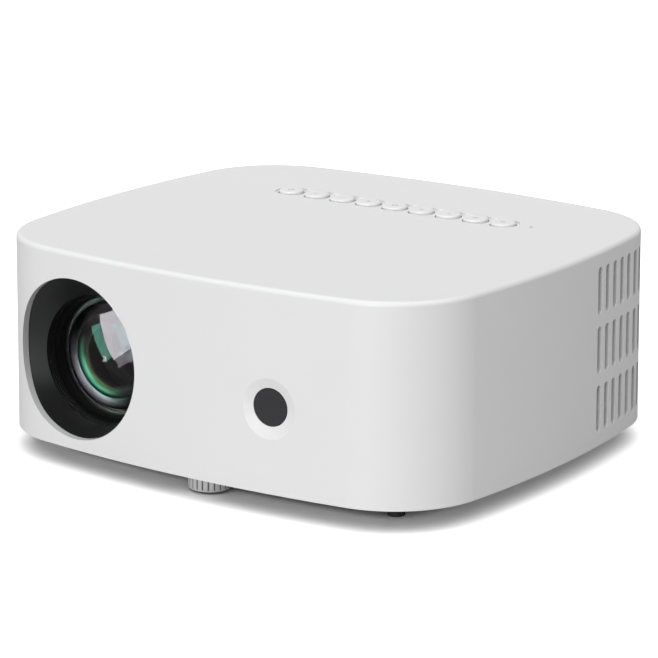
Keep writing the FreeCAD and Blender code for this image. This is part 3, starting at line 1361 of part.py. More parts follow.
def makeFeedScrew():
    start = feedStart - 0.4 + d.seatGap
    return rodOnBearing(hubPoint, d.mechAngle, start, d.screwOffset, mechZ, d.feedScrewRadius,
                        rodEnd - start)


# ---------------------------------------------------------------- ports and boards

portFace = d.portFloorY + d.portPlate
boardFace = d.mainBoardY
portPlaces = [(d.hdmiX, d.hdmiWidth / 2, d.hdmiHeight / 2),
              (d.hdmiX + d.hdmiPitch, d.hdmiWidth / 2, d.hdmiHeight / 2),
              (d.usbX, d.usbWidth / 2, d.usbHeight / 2),
              (d.jackX, d.jackRadius, d.jackRadius),
              (d.jackX + d.jackPitch, d.jackRadius, d.jackRadius),
              (d.inletX, d.inletWidth / 2, d.inletHeight / 2)]


def socket(x, halfX, halfZ, shell, tongueHalf, tongueThickness, tongueZ):
    """A sheet shell with a tongue in its mouth, on the rear face of the main board."""
    outer = box(x - halfX, x + halfX, boardFace, portFace + 0.2, d.portHeight - halfZ,
                d.portHeight + halfZ)
    mouth = box(x - halfX + shell, x + halfX - shell, boardFace + 2, portFace + 1,
                d.portHeight - halfZ + shell, d.portHeight + halfZ - shell)
    tongue = box(x - tongueHalf, x + tongueHalf, boardFace + 1, portFace - 1,
                 d.portHeight + tongueZ, d.portHeight + tongueZ + tongueThickness)
    return fuse(cut(outer, mouth), tongue)


def makeHdmiSockets():
    return group(*[socket(d.hdmiX + number * d.hdmiPitch, d.hdmiWidth / 2, d.hdmiHeight / 2, 0.6,
                          5.4, 1.2, -0.6) for number in range(2)])


def makeUsbSocket():
    return socket(d.usbX, d.usbWidth / 2, d.usbHeight / 2, 0.7, 5.6, 1.8, 0.4)


def makeJacks():
    jacks = []
    for number in range(2):
        x = d.jackX + number * d.jackPitch
        half = d.jackBody / 2
        body = box(x - half, x + half, boardFace, d.portFloorY - d.fitGap, d.portHeight - half,
                   d.portHeight + half)
        nose = rod("Y", x, boardFace + 1, d.portHeight, d.jackRadius, portFace - boardFace - 0.7)
        bore = rod("Y", x, boardFace + 2, d.portHeight, d.jackBore, portFace - boardFace)
        jacks.append(cut(fuse(body, nose), bore))
    return group(*jacks)


def makePowerInlet():
    """A two-pin mains inlet: flange, figure-of-eight well and pins."""
    half = d.inletWidth / 2
    tall = d.inletHeight / 2
    low = d.portFloorY - 12
    body = box(d.inletX - half, d.inletX + half, low, portFace + 0.2, d.portHeight - tall,
               d.portHeight + tall)
    flange = box(d.inletX - half - d.inletFlange, d.inletX + half + d.inletFlange, portFace,
                 portFace + 1.2, d.portHeight - tall - 1.5, d.portHeight + tall + 1.5)
    lobes = [rod("Y", d.inletX + side * 4, low + 2, d.portHeight, asSize(4.2), asSize(20))
             for side in (-1, 1)]
    waist = box(d.inletX - 4, d.inletX + 4, low + 2, portFace + 5, d.portHeight - 4,
                d.portHeight + 4)
    pins = [rod("Y", d.inletX + side * 4.3, low + 1, d.portHeight, asSize(1.2), asSize(10))
            for side in (-1, 1)]
    return fuse(cut(fuse(body, flange), *lobes, waist), *pins)


def makeMainBoard():
    """The upright signal board across the back, with its chips towards the front."""
    board = box(d.hdmiX - 20, d.mainBoardRight, d.mainBoardY - d.boardThickness, d.mainBoardY,
                baseTop, d.mainBoardTop)
    front = d.mainBoardY - d.boardThickness
    parts = [board]
    left = d.hdmiX - 20
    width = d.mainBoardRight - left
    tall = d.mainBoardTop - baseTop
    for across, up, half, height in ((0.37, 0.56, 8, 4), (0.6, 0.38, 6, 1.4), (0.6, 0.78, 6, 1.4),
                                     (0.83, 0.58, 5, 1.6), (0.91, 0.22, 3, 3)):
        x = left + width * across
        z = baseTop + tall * up
        parts.append(box(x - half, x + half, front - height, front, z - half, z + half))
    return fuse(*parts)


def makePowerBoard():
    """The supply board on four standoffs: transformer, capacitors, choke and filter."""
    low = baseTop + d.standoffHeight
    top = low + d.boardThickness
    board = box(d.powerLeft, d.powerRight, d.powerFront, d.powerBack, low, top)
    parts = [board]
    width = d.powerRight - d.powerLeft
    for across, along, halfX, halfY, height in ((0.5, 0.52, 12, 11, 20), (0.17, 0.3, 6, 8, 14),
                                                (0.93, 0.5, 1.5, 14, 18)):
        x = d.powerLeft + width * across
        y = d.powerFront + d.powerDepth * along
        parts.append(box(x - halfX, x + halfX, y - halfY, y + halfY, top, top + height))
    for across, along, radius, height in ((0.79, 0.27, 6, 22), (0.79, 0.58, 6, 22),
                                          (0.14, 0.7, 5, 16), (0.27, 0.8, 4, 12)):
        parts.append(rod("Z", d.powerLeft + width * across, d.powerFront + d.powerDepth * along, top,
                         asSize(radius), asSize(height)))
    return fuse(*parts)


def standoffPlaces():
    inset = 5
    return [(x, y) for x in (d.powerLeft + inset, d.powerRight - inset)
            for y in (d.powerFront + inset, d.powerBack - inset)]


def makeKeyBoard():
    """A strip with one push switch under each key, hung from two posts."""
    half = d.keyBoardWidth / 2
    left = keyBoardPosts[0] - 4
    right = keyBoardPosts[1] + 4
    strip = box(left, right, d.keyY - half, d.keyY + half, keyBoardTop - d.boardThickness, keyBoardTop)
    parts = [strip]
    side = d.switchSize / 2
    for x in keyPlaces:
        parts.append(box(x - side, x + side, d.keyY - side, d.keyY + side, keyBoardTop,
                         keyBoardTop + d.switchHeight))
    return fuse(*parts)


def makeKey(number):
    """A round cap with a soft rim, a flange below the ceiling and a stem over its switch."""
    flangeLow = flangeTop - d.keyFlangeHeight
    return turned("key_%d" % (number + 1), "XZ", keyPlaces[number], 0, -d.keyY, "V_Axis", [
        (0, stemBottom), (d.keyStemRadius, stemBottom), (d.keyStemRadius, flangeLow),
        (d.keyFlangeRadius, flangeLow), (d.keyFlangeRadius, flangeTop), (d.keyRadius, flangeTop),
        (d.keyRadius, keyTop - d.keyRim), (d.keyRadius - d.keyRim, keyTop, d.keyRim), (0, keyTop)])


def makeLightPipe():
    low = keyBoardTop + d.seatGap
    shoulder = low + 3
    return turned("light_pipe", "XZ", d.pipeX, 0, -d.pipeY, "V_Axis", [
        (0, low), (d.pipeFlangeRadius, low), (d.pipeFlangeRadius, shoulder),
        (d.pipeRadius - d.seatGap, shoulder), (d.pipeRadius - d.seatGap, topZ), (0, topZ)])


def makeSpeaker():
    """A round driver that faces the left vents, on an upright plate."""
    z = lensZ - 3
    frame = rod("X", -d.speakerX - d.speakerDepth, d.speakerY, z, d.speakerRadius, d.speakerDepth)
    cone = doc.addObject("Part::Cone", "Cone")
    cone.Placement = FreeCAD.Placement(FreeCAD.Vector(), turns["X"])
    bind(cone, "Radius1", d.speakerRadius - 1.5)
    bind(cone, "Radius2", d.speakerRadius / 3)
    bind(cone, "Height", d.speakerDepth - 2)
    for axis, size in (("x", -d.speakerX - d.speakerDepth), ("y", d.speakerY), ("z", z)):
        bind(cone, "Placement.Base." + axis, size)
    magnet = rod("X", -d.speakerX, d.speakerY, z, d.speakerRadius * 0.55, asSize(2))
    plate = box(-d.speakerX - 2, -d.speakerX, d.speakerY - d.speakerRadius,
                d.speakerY + d.speakerRadius, baseTop, z)
    return fuse(cut(frame, cone), magnet, plate)


# ---------------------------------------------------------------- assembly

probe = newBody("probe")
cornerCentre = drawOutline(newSketch(probe, "XY"), asSize(0))
doc.removeObject(probe.Name)

outerVolume = outlineSolid("outerVolume", asSize(0), topZ, d.bodyHeight)
cavityVolume = outlineSolid("cavityVolume", d.wall, ceilingZ, d.bodyHeight)

housing, cornerCentre = makeUpperHousing()
cutVents(housing)
cutLensHole(housing)
cutWindowDish(housing)
cutKeyRow(housing)
cutRearOpenings(housing)
addPosts(housing)
named(housing, "upper_housing")
named(makeBaseCover(), "base_cover")
named(makePortPanel(cavityVolume), "rear_port_panel")
named(makeVentScreens(cavityVolume), "vent_screens")
named(makeScrews(), "housing_screws")
named(makeRubberFeet(), "rubber_feet")
named(makeHeightWheel(), "height_wheel")
named(makeFootPad(), "foot_pad")
named(makeTripodInsert(), "tripod_insert")
named(makeSensorWindow(), "sensor_window")

named(makeLensHood(), "lens_hood")
named(makeLensMount(), "lens_mount")
named(makeLensBarrel(), "lens_barrel")
named(makeRetainers(), "retaining_rings")
named(makeFrontLens(), "front_lens")
named(biconvex("middle_lens", -d.middleLensY, d.middleLensRadius, d.middleLensEdge,
               d.middleLensFrontSag, d.middleLensRearSag), "middle_lens")
named(biconvex("rear_lens", -d.rearLensY, d.rearLensRadius, d.rearLensEdge,
               d.rearLensSag, d.rearLensSag), "rear_lens")
named(makeFocusMotor(), "focus_motor")
named(makeFocusScrew(), "focus_screw")

named(makeEngineCase(), "engine_case")
named(makeEngineLid(), "engine_lid")
named(makeMirror(), "fold_mirror")
named(group(opticPlate(d.fieldLensX, d.fresnelThickness),
            opticPlate(d.collimatorX, d.fresnelThickness)), "fresnel_lenses")
named(makePanel(), "lcd_panel")
named(opticPlate(d.heatGlassX, d.fresnelThickness), "heat_glass")
named(makeCondenser(), "condenser_lens")
named(makeLed(), "led_module")
named(makeHeatSink(), "heat_sink")
named(makeFanFrame(), "fan_frame")
named(makeFanRotor(), "fan_rotor")

named(makeDrivePan(), "drive_pan")
named(makeDriveCover(), "drive_cover")
named(makeDiscTray(), "disc_tray")
named(makeTrayBezel(outerVolume), "tray_bezel")
named(makeTrayRails(), "tray_rails")
named(makeEjectButton(), "eject_button")
named(makeSpindleMotor(), "spindle_motor")
named(makeDiscHub(), "disc_hub")
named(makePickup(), "pickup")
named(makePickupRods(), "pickup_rods")
named(makeFeedScrew(), "feed_screw")
named(makeFeedMotor(), "feed_motor")

named(makeMainBoard(), "main_board")
named(makeHdmiSockets(), "hdmi_sockets")
named(makeUsbSocket(), "usb_socket")
named(makeJacks(), "audio_jacks")
named(makePowerInlet(), "power_inlet")
named(makePowerBoard(), "power_board")
named(makeKeyBoard(), "key_board")
for number in range(int(sizes["keyCount"])):
    named(makeKey(number), "key_%d" % (number + 1))
named(makeLightPipe(), "light_pipe")
named(makeSpeaker(), "speaker")

doc.recompute()
problems = ["%s: %s" % (item.Name, item.State) for item in doc.Objects
            if "Invalid" in item.State or "Error" in item.State]
for item in nodes:
    if item.Shape.isNull() or not item.Shape.isValid():
        problems.append("%s has no sound shape" % item.Label)
if problems:
    raise RuntimeError("; ".join(problems))
for item in nodes:
    item.Shape.exportStep("parts/%s.step" % item.Label)
    print("%-18s %9.1f mm3  %d solid(s)" % (item.Label, item.Shape.Volume, len(item.Shape.Solids)))
print(len(nodes), "sub-parts")
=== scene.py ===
import math

import bpy
import numpy as np
from mathutils import Matrix, Vector


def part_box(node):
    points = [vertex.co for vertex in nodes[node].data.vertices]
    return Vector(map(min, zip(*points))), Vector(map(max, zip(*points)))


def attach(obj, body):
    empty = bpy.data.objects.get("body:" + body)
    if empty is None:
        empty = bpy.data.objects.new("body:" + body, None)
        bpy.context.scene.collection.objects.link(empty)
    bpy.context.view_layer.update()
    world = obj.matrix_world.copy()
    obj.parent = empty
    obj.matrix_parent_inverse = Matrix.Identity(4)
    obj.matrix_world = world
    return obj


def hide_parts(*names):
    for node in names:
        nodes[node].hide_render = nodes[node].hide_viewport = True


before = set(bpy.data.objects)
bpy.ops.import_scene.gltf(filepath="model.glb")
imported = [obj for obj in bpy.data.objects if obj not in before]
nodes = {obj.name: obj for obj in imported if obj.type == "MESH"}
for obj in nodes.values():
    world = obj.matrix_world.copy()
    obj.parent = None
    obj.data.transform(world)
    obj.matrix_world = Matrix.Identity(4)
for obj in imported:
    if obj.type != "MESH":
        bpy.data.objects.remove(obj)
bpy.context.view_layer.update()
print("frame loaded:", len(nodes), "nodes")

mm = 0.001


def middleOf(name):
    low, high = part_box(name)
    return (low + high) / 2


def addNode(tree, kind, inputs=None, **settings):
    # an input takes either another node's socket or a plain value
    node = tree.nodes.new(kind)
    for name, value in settings.items():
        setattr(node, name, value)
    for name, value in (inputs or {}).items():
        if isinstance(value, bpy.types.NodeSocket):
            tree.links.new(value, node.inputs[name])
        else:
            node.inputs[name].default_value = value
    return node


def addMath(tree, operation, *values):
    node = addNode(tree, "ShaderNodeMath", dict(enumerate(values)), operation=operation)
    return node.outputs[0]


def blendColours(tree, mask, low, high):
    # a colour Mix node has its factor at input 0, its colours at 6 and 7, its result at output 2
    ends = [end if isinstance(end, bpy.types.NodeSocket) else (*end, 1) for end in (low, high)]
    node = addNode(tree, "ShaderNodeMix", {0: mask, 6: ends[0], 7: ends[1]}, data_type="RGBA")
    return node.outputs[2]


def splitPlace(tree, place):
    return addNode(tree, "ShaderNodeSeparateXYZ", {"Vector": place}).outputs


def centredPlace(tree, place, centre, degrees=0.0):
    # place counted from centre, in axes that are turned about Z
    node = addNode(tree, "ShaderNodeMapping", {
        "Vector": place, "Location": centre, "Rotation": (0, 0, math.radians(degrees))},
        vector_type="TEXTURE")
    return node.outputs[0]


def reachFrom(tree, across, up):
    # distance from an axis: the root of both squares added up
    return addMath(tree, "SQRT", addMath(tree, "ADD", addMath(tree, "MULTIPLY", across, across),
                                         addMath(tree, "MULTIPLY", up, up)))


def newGroup(name, inputs, outputs):
    group = bpy.data.node_groups.new(name, "ShaderNodeTree")
    for socketName, kind, value in inputs:
        socket = group.interface.new_socket(name=socketName, in_out="INPUT", socket_type=kind)
        if value is not None:
            socket.default_value = value
    for socketName, kind in outputs:
        group.interface.new_socket(name=socketName, in_out="OUTPUT", socket_type=kind)
    start = group.nodes.new("NodeGroupInput")
    end = group.nodes.new("NodeGroupOutput")
    return group, start, end


# noise sizes are in cells per metre; nearly all of a noise lies between the two values of its span
noises = {"span": (0.3, 0.7),
          "mould": {"Scale": 2400.0, "Detail": 3.0, "Roughness": 0.6},
          "cloud": {"Scale": 26.0, "Detail": 2.0},
          "streaks": {"Scale": 1.0, "Detail": 3.0},
          "smears": {"Scale": 60.0, "Detail": 4.0}}

# moulded surface: a fine spark-eroded grain, with a slow cloud for tone and gloss
mouldGrain, start, end = newGroup(
    "mouldGrain",
    [("Position", "NodeSocketVector", None),
     ("Grain per metre", "NodeSocketFloat", noises["mould"]["Scale"])],
    [("Height", "NodeSocketFloat"), ("Cloud", "NodeSocketFloat")])
fine = addNode(mouldGrain, "ShaderNodeTexNoise", {
    **noises["mould"], "Vector": start.outputs["Position"],
    "Scale": start.outputs["Grain per metre"]})
cloud = addNode(mouldGrain, "ShaderNodeTexNoise", {
    **noises["cloud"], "Vector": start.outputs["Position"]})
mouldGrain.links.new(fine.outputs["Fac"], end.inputs["Height"])
mouldGrain.links.new(cloud.outputs["Fac"], end.inputs["Cloud"])

# drawn or turned metal: streaks drawn out by the stretch of each axis, plus faint smears
metalGrain, start, end = newGroup(
    "metalGrain",
    [("Position", "NodeSocketVector", None), ("Stretch", "NodeSocketVector", None)],
    [("Streaks", "NodeSocketFloat"), ("Smears", "NodeSocketFloat")])
spread = addNode(metalGrain, "ShaderNodeVectorMath", {
    0: start.outputs["Position"], 1: start.outputs["Stretch"]}, operation="MULTIPLY")
streaks = addNode(metalGrain, "ShaderNodeTexNoise", {
    **noises["streaks"], "Vector": spread.outputs[0]})
smears = addNode(metalGrain, "ShaderNodeTexNoise", {
    **noises["smears"], "Vector": start.outputs["Position"]})
metalGrain.links.new(streaks.outputs["Fac"], end.inputs["Streaks"])
metalGrain.links.new(smears.outputs["Fac"], end.inputs["Smears"])

# a screw thread: a triangle wave that climbs by one pitch in each turn round the axis
threadForm, start, end = newGroup(
    "threadForm",
    [("Along", "NodeSocketFloat", None), ("Across", "NodeSocketFloat", None),
     ("Up", "NodeSocketFloat", None), ("Pitch", "NodeSocketFloat", mm)],
    [("Height", "NodeSocketFloat")])
angleRound = addMath(threadForm, "ARCTAN2", start.outputs["Up"], start.outputs["Across"])
climb = addMath(threadForm, "ADD",
                addMath(threadForm, "DIVIDE", start.outputs["Along"], start.outputs["Pitch"]),
                addMath(threadForm, "DIVIDE", angleRound, 2 * math.pi))
threadForm.links.new(addMath(threadForm, "PINGPONG", climb, 0.5), end.inputs["Height"])


def startMaterial(name, fixed=None):
    # fixed holds what is the same all over the surface, set on the shader's own sockets
    material = bpy.data.materials.new(name)
    material.use_nodes = True
    tree = material.node_tree
    shader = tree.nodes["Principled BSDF"]
    for socket, value in (fixed or {}).items():
        shader.inputs[socket].default_value = value
    place = tree.nodes.new("ShaderNodeTexCoord").outputs["Object"]
    return material, tree, shader, place


def placeGrain(tree, place, grain=noises["mould"]["Scale"]):
    return addNode(tree, "ShaderNodeGroup", {"Position": place, "Grain per metre": grain},
                   node_tree=mouldGrain).outputs


def placeMetal(tree, place, stretch):
    return addNode(tree, "ShaderNodeGroup", {"Position": place, "Stretch": stretch},
                   node_tree=metalGrain).outputs


def bumpInto(tree, shader, height, strength, depth):
    # depth is in millimetres
    bump = addNode(tree, "ShaderNodeBump", {"Height": height, "Strength": strength,
                                            "Distance": depth * mm})
    tree.links.new(bump.outputs["Normal"], shader.inputs["Normal"])


def ranged(tree, noise, low, high):
    node = addNode(tree, "ShaderNodeMapRange", {
        "Value": noise, "From Min": noises["span"][0], "From Max": noises["span"][1],
        "To Min": low, "To Max": high})
    return node.outputs["Result"]


def mottled(tree, noise, dark, bright):
    return blendColours(tree, ranged(tree, noise, 0, 1), dark, bright)


def dimmed(colour, share):
    return tuple(channel * share for channel in colour)


def colourInto(tree, shader, colour):
    tree.links.new(colour, shader.inputs["Base Color"])


def glossInto(tree, shader, noise, roughness, spread):
    varied = ranged(tree, noise, roughness - spread, roughness + spread)
    tree.links.new(varied, shader.inputs["Roughness"])


plasticGrain = {"tone": 0.03, "spread": 0.03, "strength": 0.5, "depth": 0.012}


def mouldedPlastic(name, colour, roughness, tone=plasticGrain["tone"],
                   grain=noises["mould"]["Scale"], depth=plasticGrain["depth"], fixed=None):
    # tone is how much darker the cloud makes the plastic
    material, tree, shader, place = startMaterial(name, fixed)
    surface = placeGrain(tree, place, grain)
    colourInto(tree, shader, mottled(tree, surface["Cloud"], dimmed(colour, 1 - tone), colour))
    glossInto(tree, shader, surface["Cloud"], roughness, plasticGrain["spread"])
    bumpInto(tree, shader, surface["Height"], plasticGrain["strength"], depth)
    return material


drawnGrain = {"stretch": (3000, 60, 3000), "smeared": 0.82, "spread": 0.07, "strength": 0.4,
              "depth": 0.006}


def workedMetal(name, colour, roughness, stretch=drawnGrain["stretch"],
                depth=drawnGrain["depth"]):
    material, tree, shader, place = startMaterial(name, {"Metallic": 1.0})
    surface = placeMetal(tree, place, stretch)
    colourInto(tree, shader, mottled(tree, surface["Smears"],
                                     dimmed(colour, drawnGrain["smeared"]), colour))
    glossInto(tree, shader, surface["Streaks"], roughness, drawnGrain["spread"])
    bumpInto(tree, shader, surface["Streaks"], drawnGrain["strength"], depth)
    return material


glass = {"ior": 1.5, "filmIor": 1.38, "grain": 900.0, "dust": 0.985, "passed": (0.9, 0.9, 0.9)}


def leaveWithoutReturn(tree, shader):
    # a coated rear face sends nothing back into the glass, so rays only refract out there
    leaving = addNode(tree, "ShaderNodeBsdfRefraction", {"IOR": glass["ior"]})
    sides = tree.nodes.new("ShaderNodeNewGeometry")
    return addNode(tree, "ShaderNodeMixShader", {
        0: sides.outputs["Backfacing"], 1: shader.outputs["BSDF"], 2: leaving.outputs["BSDF"]})


def letLampsThrough(tree, shader):
    # lamps shine straight through the glass, so that what lies behind it is lit without noise
    clear = addNode(tree, "ShaderNodeBsdfTransparent", {"Color": (*glass["passed"], 1)})
    path = tree.nodes.new("ShaderNodeLightPath")
    chosen = addNode(tree, "ShaderNodeMixShader", {
        0: path.outputs["Is Shadow Ray"], 1: shader.outputs[0], 2: clear.outputs[0]})
    tree.links.new(chosen.outputs[0], tree.nodes["Material Output"].inputs["Surface"])


def opticalGlass(name, tint, roughness=0.0, film=0.0, gleam=(1, 1, 1)):
    # film is the coating's thickness in nanometres, gleam the tint of what it reflects
    material, tree, shader, place = startMaterial(name, {
        "IOR": glass["ior"], "Roughness": roughness, "Transmission Weight": 1.0,
        "Thin Film Thickness": film, "Thin Film IOR": glass["filmIor"],
        "Specular Tint": (*gleam, 1)})
    surface = placeGrain(tree, place, glass["grain"])
    colourInto(tree, shader, mottled(tree, surface["Cloud"], dimmed(tint, glass["dust"]), tint))
    letLampsThrough(tree, leaveWithoutReturn(tree, shader))
    return material


# depth is that of the grain in millimetres, stretch the streaks per metre along each axis
shellWhite = (0.77, 0.77, 0.775)
barrelBlack = (0.004, 0.004, 0.0042)
plastics = {
    "whiteShell": {"colour": shellWhite, "roughness": 0.42, "tone": 0.012},
    "whiteKey": {"colour": shellWhite, "roughness": 0.3, "tone": 0.01, "depth": 0.006},
    "blackHood": {"colour": (0.0105, 0.011, 0.0112), "roughness": 0.4, "tone": 0.2,
                  "depth": 0.02},
    "blackBarrel": {"colour": barrelBlack, "roughness": 0.38, "tone": 0.2, "depth": 0.01,
                    "fixed": {"Specular IOR Level": 0.15}},
    "blackRing": {"colour": barrelBlack, "roughness": 0.3, "tone": 0.2, "depth": 0.006,
                  "fixed": {"Specular IOR Level": 0.12}},
    "blackInner": {"colour": (0.02, 0.02, 0.02), "roughness": 0.6, "tone": 0.25},
    "greyPanel": {"colour": (0.07, 0.07, 0.073), "roughness": 0.5, "tone": 0.1},
    "blackTray": {"colour": (0.016, 0.016, 0.017), "roughness": 0.36, "tone": 0.15},
    "blackRubber": {"colour": (0.014, 0.014, 0.014), "roughness": 0.75, "tone": 0.3,
                    "grain": 1400.0, "depth": 0.03},
    "naturalRail": {"colour": (0.6, 0.59, 0.55), "roughness": 0.45, "tone": 0.05},
    "blackSocket": {"colour": (0.015, 0.015, 0.015), "roughness": 0.45, "tone": 0.2},
    "pickupBlack": {"colour": (0.03, 0.03, 0.03), "roughness": 0.5, "tone": 0.2}}
metals = {
    "brightSteel": {"colour": (0.62, 0.61, 0.6), "roughness": 0.28},
    "zincSheet": {"colour": (0.58, 0.58, 0.57), "roughness": 0.42, "stretch": (40, 900, 900),
                  "depth": 0.01},
    "bareAluminium": {"colour": (0.72, 0.72, 0.73), "roughness": 0.36,
                      "stretch": (1500, 1500, 60)},
    "mirrorSilver": {"colour": (0.9, 0.9, 0.9), "roughness": 0.08, "stretch": (200, 200, 200),
                     "depth": 0.001}}
glasses = {
    "coatedGlass": {"tint": (0.97, 0.985, 0.98), "film": 105.0},
    "greenGlass": {"tint": (0.9, 0.97, 0.93), "gleam": (0.003, 0.008, 0.006)},
    "clearGlass": {"tint": (0.96, 0.98, 0.98), "film": 260.0},
    "guideGlass": {"tint": (0.9, 0.9, 0.9), "roughness": 0.35}}
finishes = {}
for makeFinish, settings in ((mouldedPlastic, plastics), (workedMetal, metals),
                             (opticalGlass, glasses)):
    for name, values in settings.items():
        finishes[name] = makeFinish(name, **values)

# threads and the knurled wheel, in millimetres: start is where a turn begins, counted along the
# axis from the node's middle, and the thread is cut where the radius is below within, which is
# everywhere on the two screws
screwThreads = {
    "feedThread": {"node": "feed_screw", "axis": 0, "degrees": 135.0, "start": -10.65,
                   "pitch": 3.0, "depth": 0.5, "within": 1000.0, "metallic": 1.0,
                   "roughness": 0.28, "dark": (0.45, 0.44, 0.43), "bright": (0.62, 0.61, 0.6)},
    "focusThread": {"node": "focus_screw", "axis": 1, "degrees": 0.0, "start": -2.25,
                    "pitch": 1.0, "depth": 0.3, "within": 1000.0, "metallic": 1.0,
                    "roughness": 0.3, "dark": (0.465, 0.4575, 0.45),
                    "bright": (0.62, 0.61, 0.6)},
    "insertThread": {"node": "tripod_insert", "axis": 2, "degrees": 0.0, "start": -10.1,
                     "pitch": 1.27, "depth": 0.4, "within": 3.2, "metallic": 1.0,
                     "roughness": 0.3, "dark": (0.54, 0.375, 0.15), "bright": (0.72, 0.5, 0.2)},
    "wheelFinish": {"node": "height_wheel", "axis": 2, "degrees": 0.0, "start": -13.4,
                    "pitch": 1.5, "depth": 0.5, "within": 4.1, "metallic": 0.0,
                    "roughness": 0.5, "dark": (0.525, 0.525, 0.52875),
                    "bright": (0.7, 0.7, 0.705),
                    # the knurl's grooves take a painted shade, the dark colour given last
                    "knurl": {"rim": 9.07, "groove": 0.3, "lowest": 1.8,
                              "dirt": (0.1, 0.1, 0.1)}}}
turnedGrain = {"stretch": (900, 900, 900), "spread": 0.06, "strength": 1.0}


def threadedMetal(name, thread):
    # the thread's height, times a mask that is 1 inside its radius
    material, tree, shader, place = startMaterial(name, {"Metallic": thread["metallic"]})
    axis = thread["axis"]
    along = Matrix.Rotation(math.radians(thread["degrees"]), 3, "Z").col[axis]
    centre = middleOf(thread["node"]) + along * thread["start"] * mm
    axes = splitPlace(tree, centredPlace(tree, place, centre, thread["degrees"]))
    across, up = [axes[index] for index in range(3) if index != axis]
    form = addNode(tree, "ShaderNodeGroup", {"Along": axes[axis], "Across": across, "Up": up,
                                             "Pitch": thread["pitch"] * mm},
                   node_tree=threadForm)
    reach = reachFrom(tree, across, up)
    cut = addMath(tree, "LESS_THAN", reach, thread["within"] * mm)
    surface = placeMetal(tree, place, turnedGrain["stretch"])
    base = mottled(tree, surface["Smears"], thread["dark"], thread["bright"])
    if "knurl" in thread:
        # painted shade darkens the knurl's grooves, which lie inside the rim and above the lower
        # edge
        knurl = thread["knurl"]
        outer = addNode(tree, "ShaderNodeMapRange", {
            "Value": reach, "From Min": (knurl["rim"] - knurl["groove"]) * mm,
            "From Max": knurl["rim"] * mm}).outputs["Result"]
        below = addMath(tree, "LESS_THAN", axes[axis], knurl["lowest"] * mm)
        base = blendColours(tree, addMath(tree, "MAXIMUM", outer, below), knurl["dirt"], base)
    colourInto(tree, shader, base)
    glossInto(tree, shader, surface["Streaks"], thread["roughness"], turnedGrain["spread"])
    bumpInto(tree, shader, addMath(tree, "MULTIPLY", form.outputs["Height"], cut),
             turnedGrain["strength"], thread["depth"])
    return material


for name, thread in screwThreads.items():
    finishes[name] = threadedMetal(name, thread)

smokedWindow = {"roughness": 0.22, "grain": 900.0,
                "tints": ((0.022, 0.022, 0.024), (0.028, 0.028, 0.03))}


def smokedWindowFinish():
    material, tree, shader, place = startMaterial("smokedWindow",
                                                  {"Roughness": smokedWindow["roughness"]})
    surface = placeGrain(tree, place, smokedWindow["grain"])
    colourInto(tree, shader, mottled(tree, surface["Cloud"], *smokedWindow["tints"]))
    return material


ventScreens = {"pitch": 1.1, "opening": 0.35, "roughness": 0.6, "sheet": (0.2, 0.2, 0.202),
               "hole": (0.09, 0.09, 0.09), "bump": (0.6, 0.1)}


def ventScreenFinish():
    # round holes where the product of two cosines, one in Y and one in Z, is high
    material, tree, shader, place = startMaterial("ventScreen",
                                                  {"Roughness": ventScreens["roughness"]})
    waves = [addMath(tree, "COSINE", addMath(tree, "MULTIPLY", axis,
                                             2 * math.pi / (ventScreens["pitch"] * mm)))
             for axis in splitPlace(tree, place)[1:]]
    hole = addMath(tree, "GREATER_THAN", addMath(tree, "MULTIPLY", *waves),
                   ventScreens["opening"])
    colourInto(tree, shader, blendColours(tree, hole, ventScreens["sheet"], ventScreens["hole"]))
    bumpInto(tree, shader, addMath(tree, "SUBTRACT", 1.0, hole), *ventScreens["bump"])
    return material


# circuit boards: the node, the axis across the board, and the side on which its parts stand; the
# thickness in millimetres is a little over the board's own
circuitBoards = {
    "finishes": {"mainBoardFinish": ("main_board", 1, -1),
                 "powerBoardFinish": ("power_board", 2, 1), "keyBoardFinish": ("key_board", 2, 1)},
    "thickness": 1.65, "cells": 160.0, "gap": 0.06, "roughness": 0.35, "grain": 1500.0,
    "bump": (0.3, 0.01), "track": (0.02, 0.2, 0.08),
    "mask": ((0.010, 0.10, 0.035), (0.012, 0.13, 0.045)),
    "chip": ((0.02, 0.02, 0.02), (0.05, 0.05, 0.052))}


def boardFinish(name, node, axis, side):
    # solder mask with copper tracks; what stands off the board beyond the thickness is chip black
    material, tree, shader, place = startMaterial(name,
                                                  {"Roughness": circuitBoards["roughness"]})
    low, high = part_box(node)
    level = low[axis] if side > 0 else high[axis]
    level += side * circuitBoards["thickness"] * mm
    tracks = addNode(tree, "ShaderNodeTexBrick", {
        "Vector": place, "Scale": circuitBoards["cells"], "Mortar Size": circuitBoards["gap"],
        "Color1": (*circuitBoards["mask"][0], 1), "Color2": (*circuitBoards["mask"][1], 1),
        "Mortar": (*circuitBoards["track"], 1)})
    raised = addMath(tree, "GREATER_THAN" if side > 0 else "LESS_THAN",
                     splitPlace(tree, place)[axis], level)
    surface = placeGrain(tree, place, circuitBoards["grain"])
    chip = mottled(tree, surface["Cloud"], *circuitBoards["chip"])
    colourInto(tree, shader, blendColours(tree, raised, tracks.outputs["Color"], chip))
    bumpInto(tree, shader, surface["Height"], *circuitBoards["bump"])
    return material


powerInlet = {"pinOffset": 4.3, "pinRadius": 1.25, "well": (0.02, 0.02, 0.02),
              "pin": (0.6, 0.58, 0.52), "wellRoughness": 0.5, "pinRoughness": 0.25,
              "grain": 1800.0, "bump": (0.3, 0.01)}


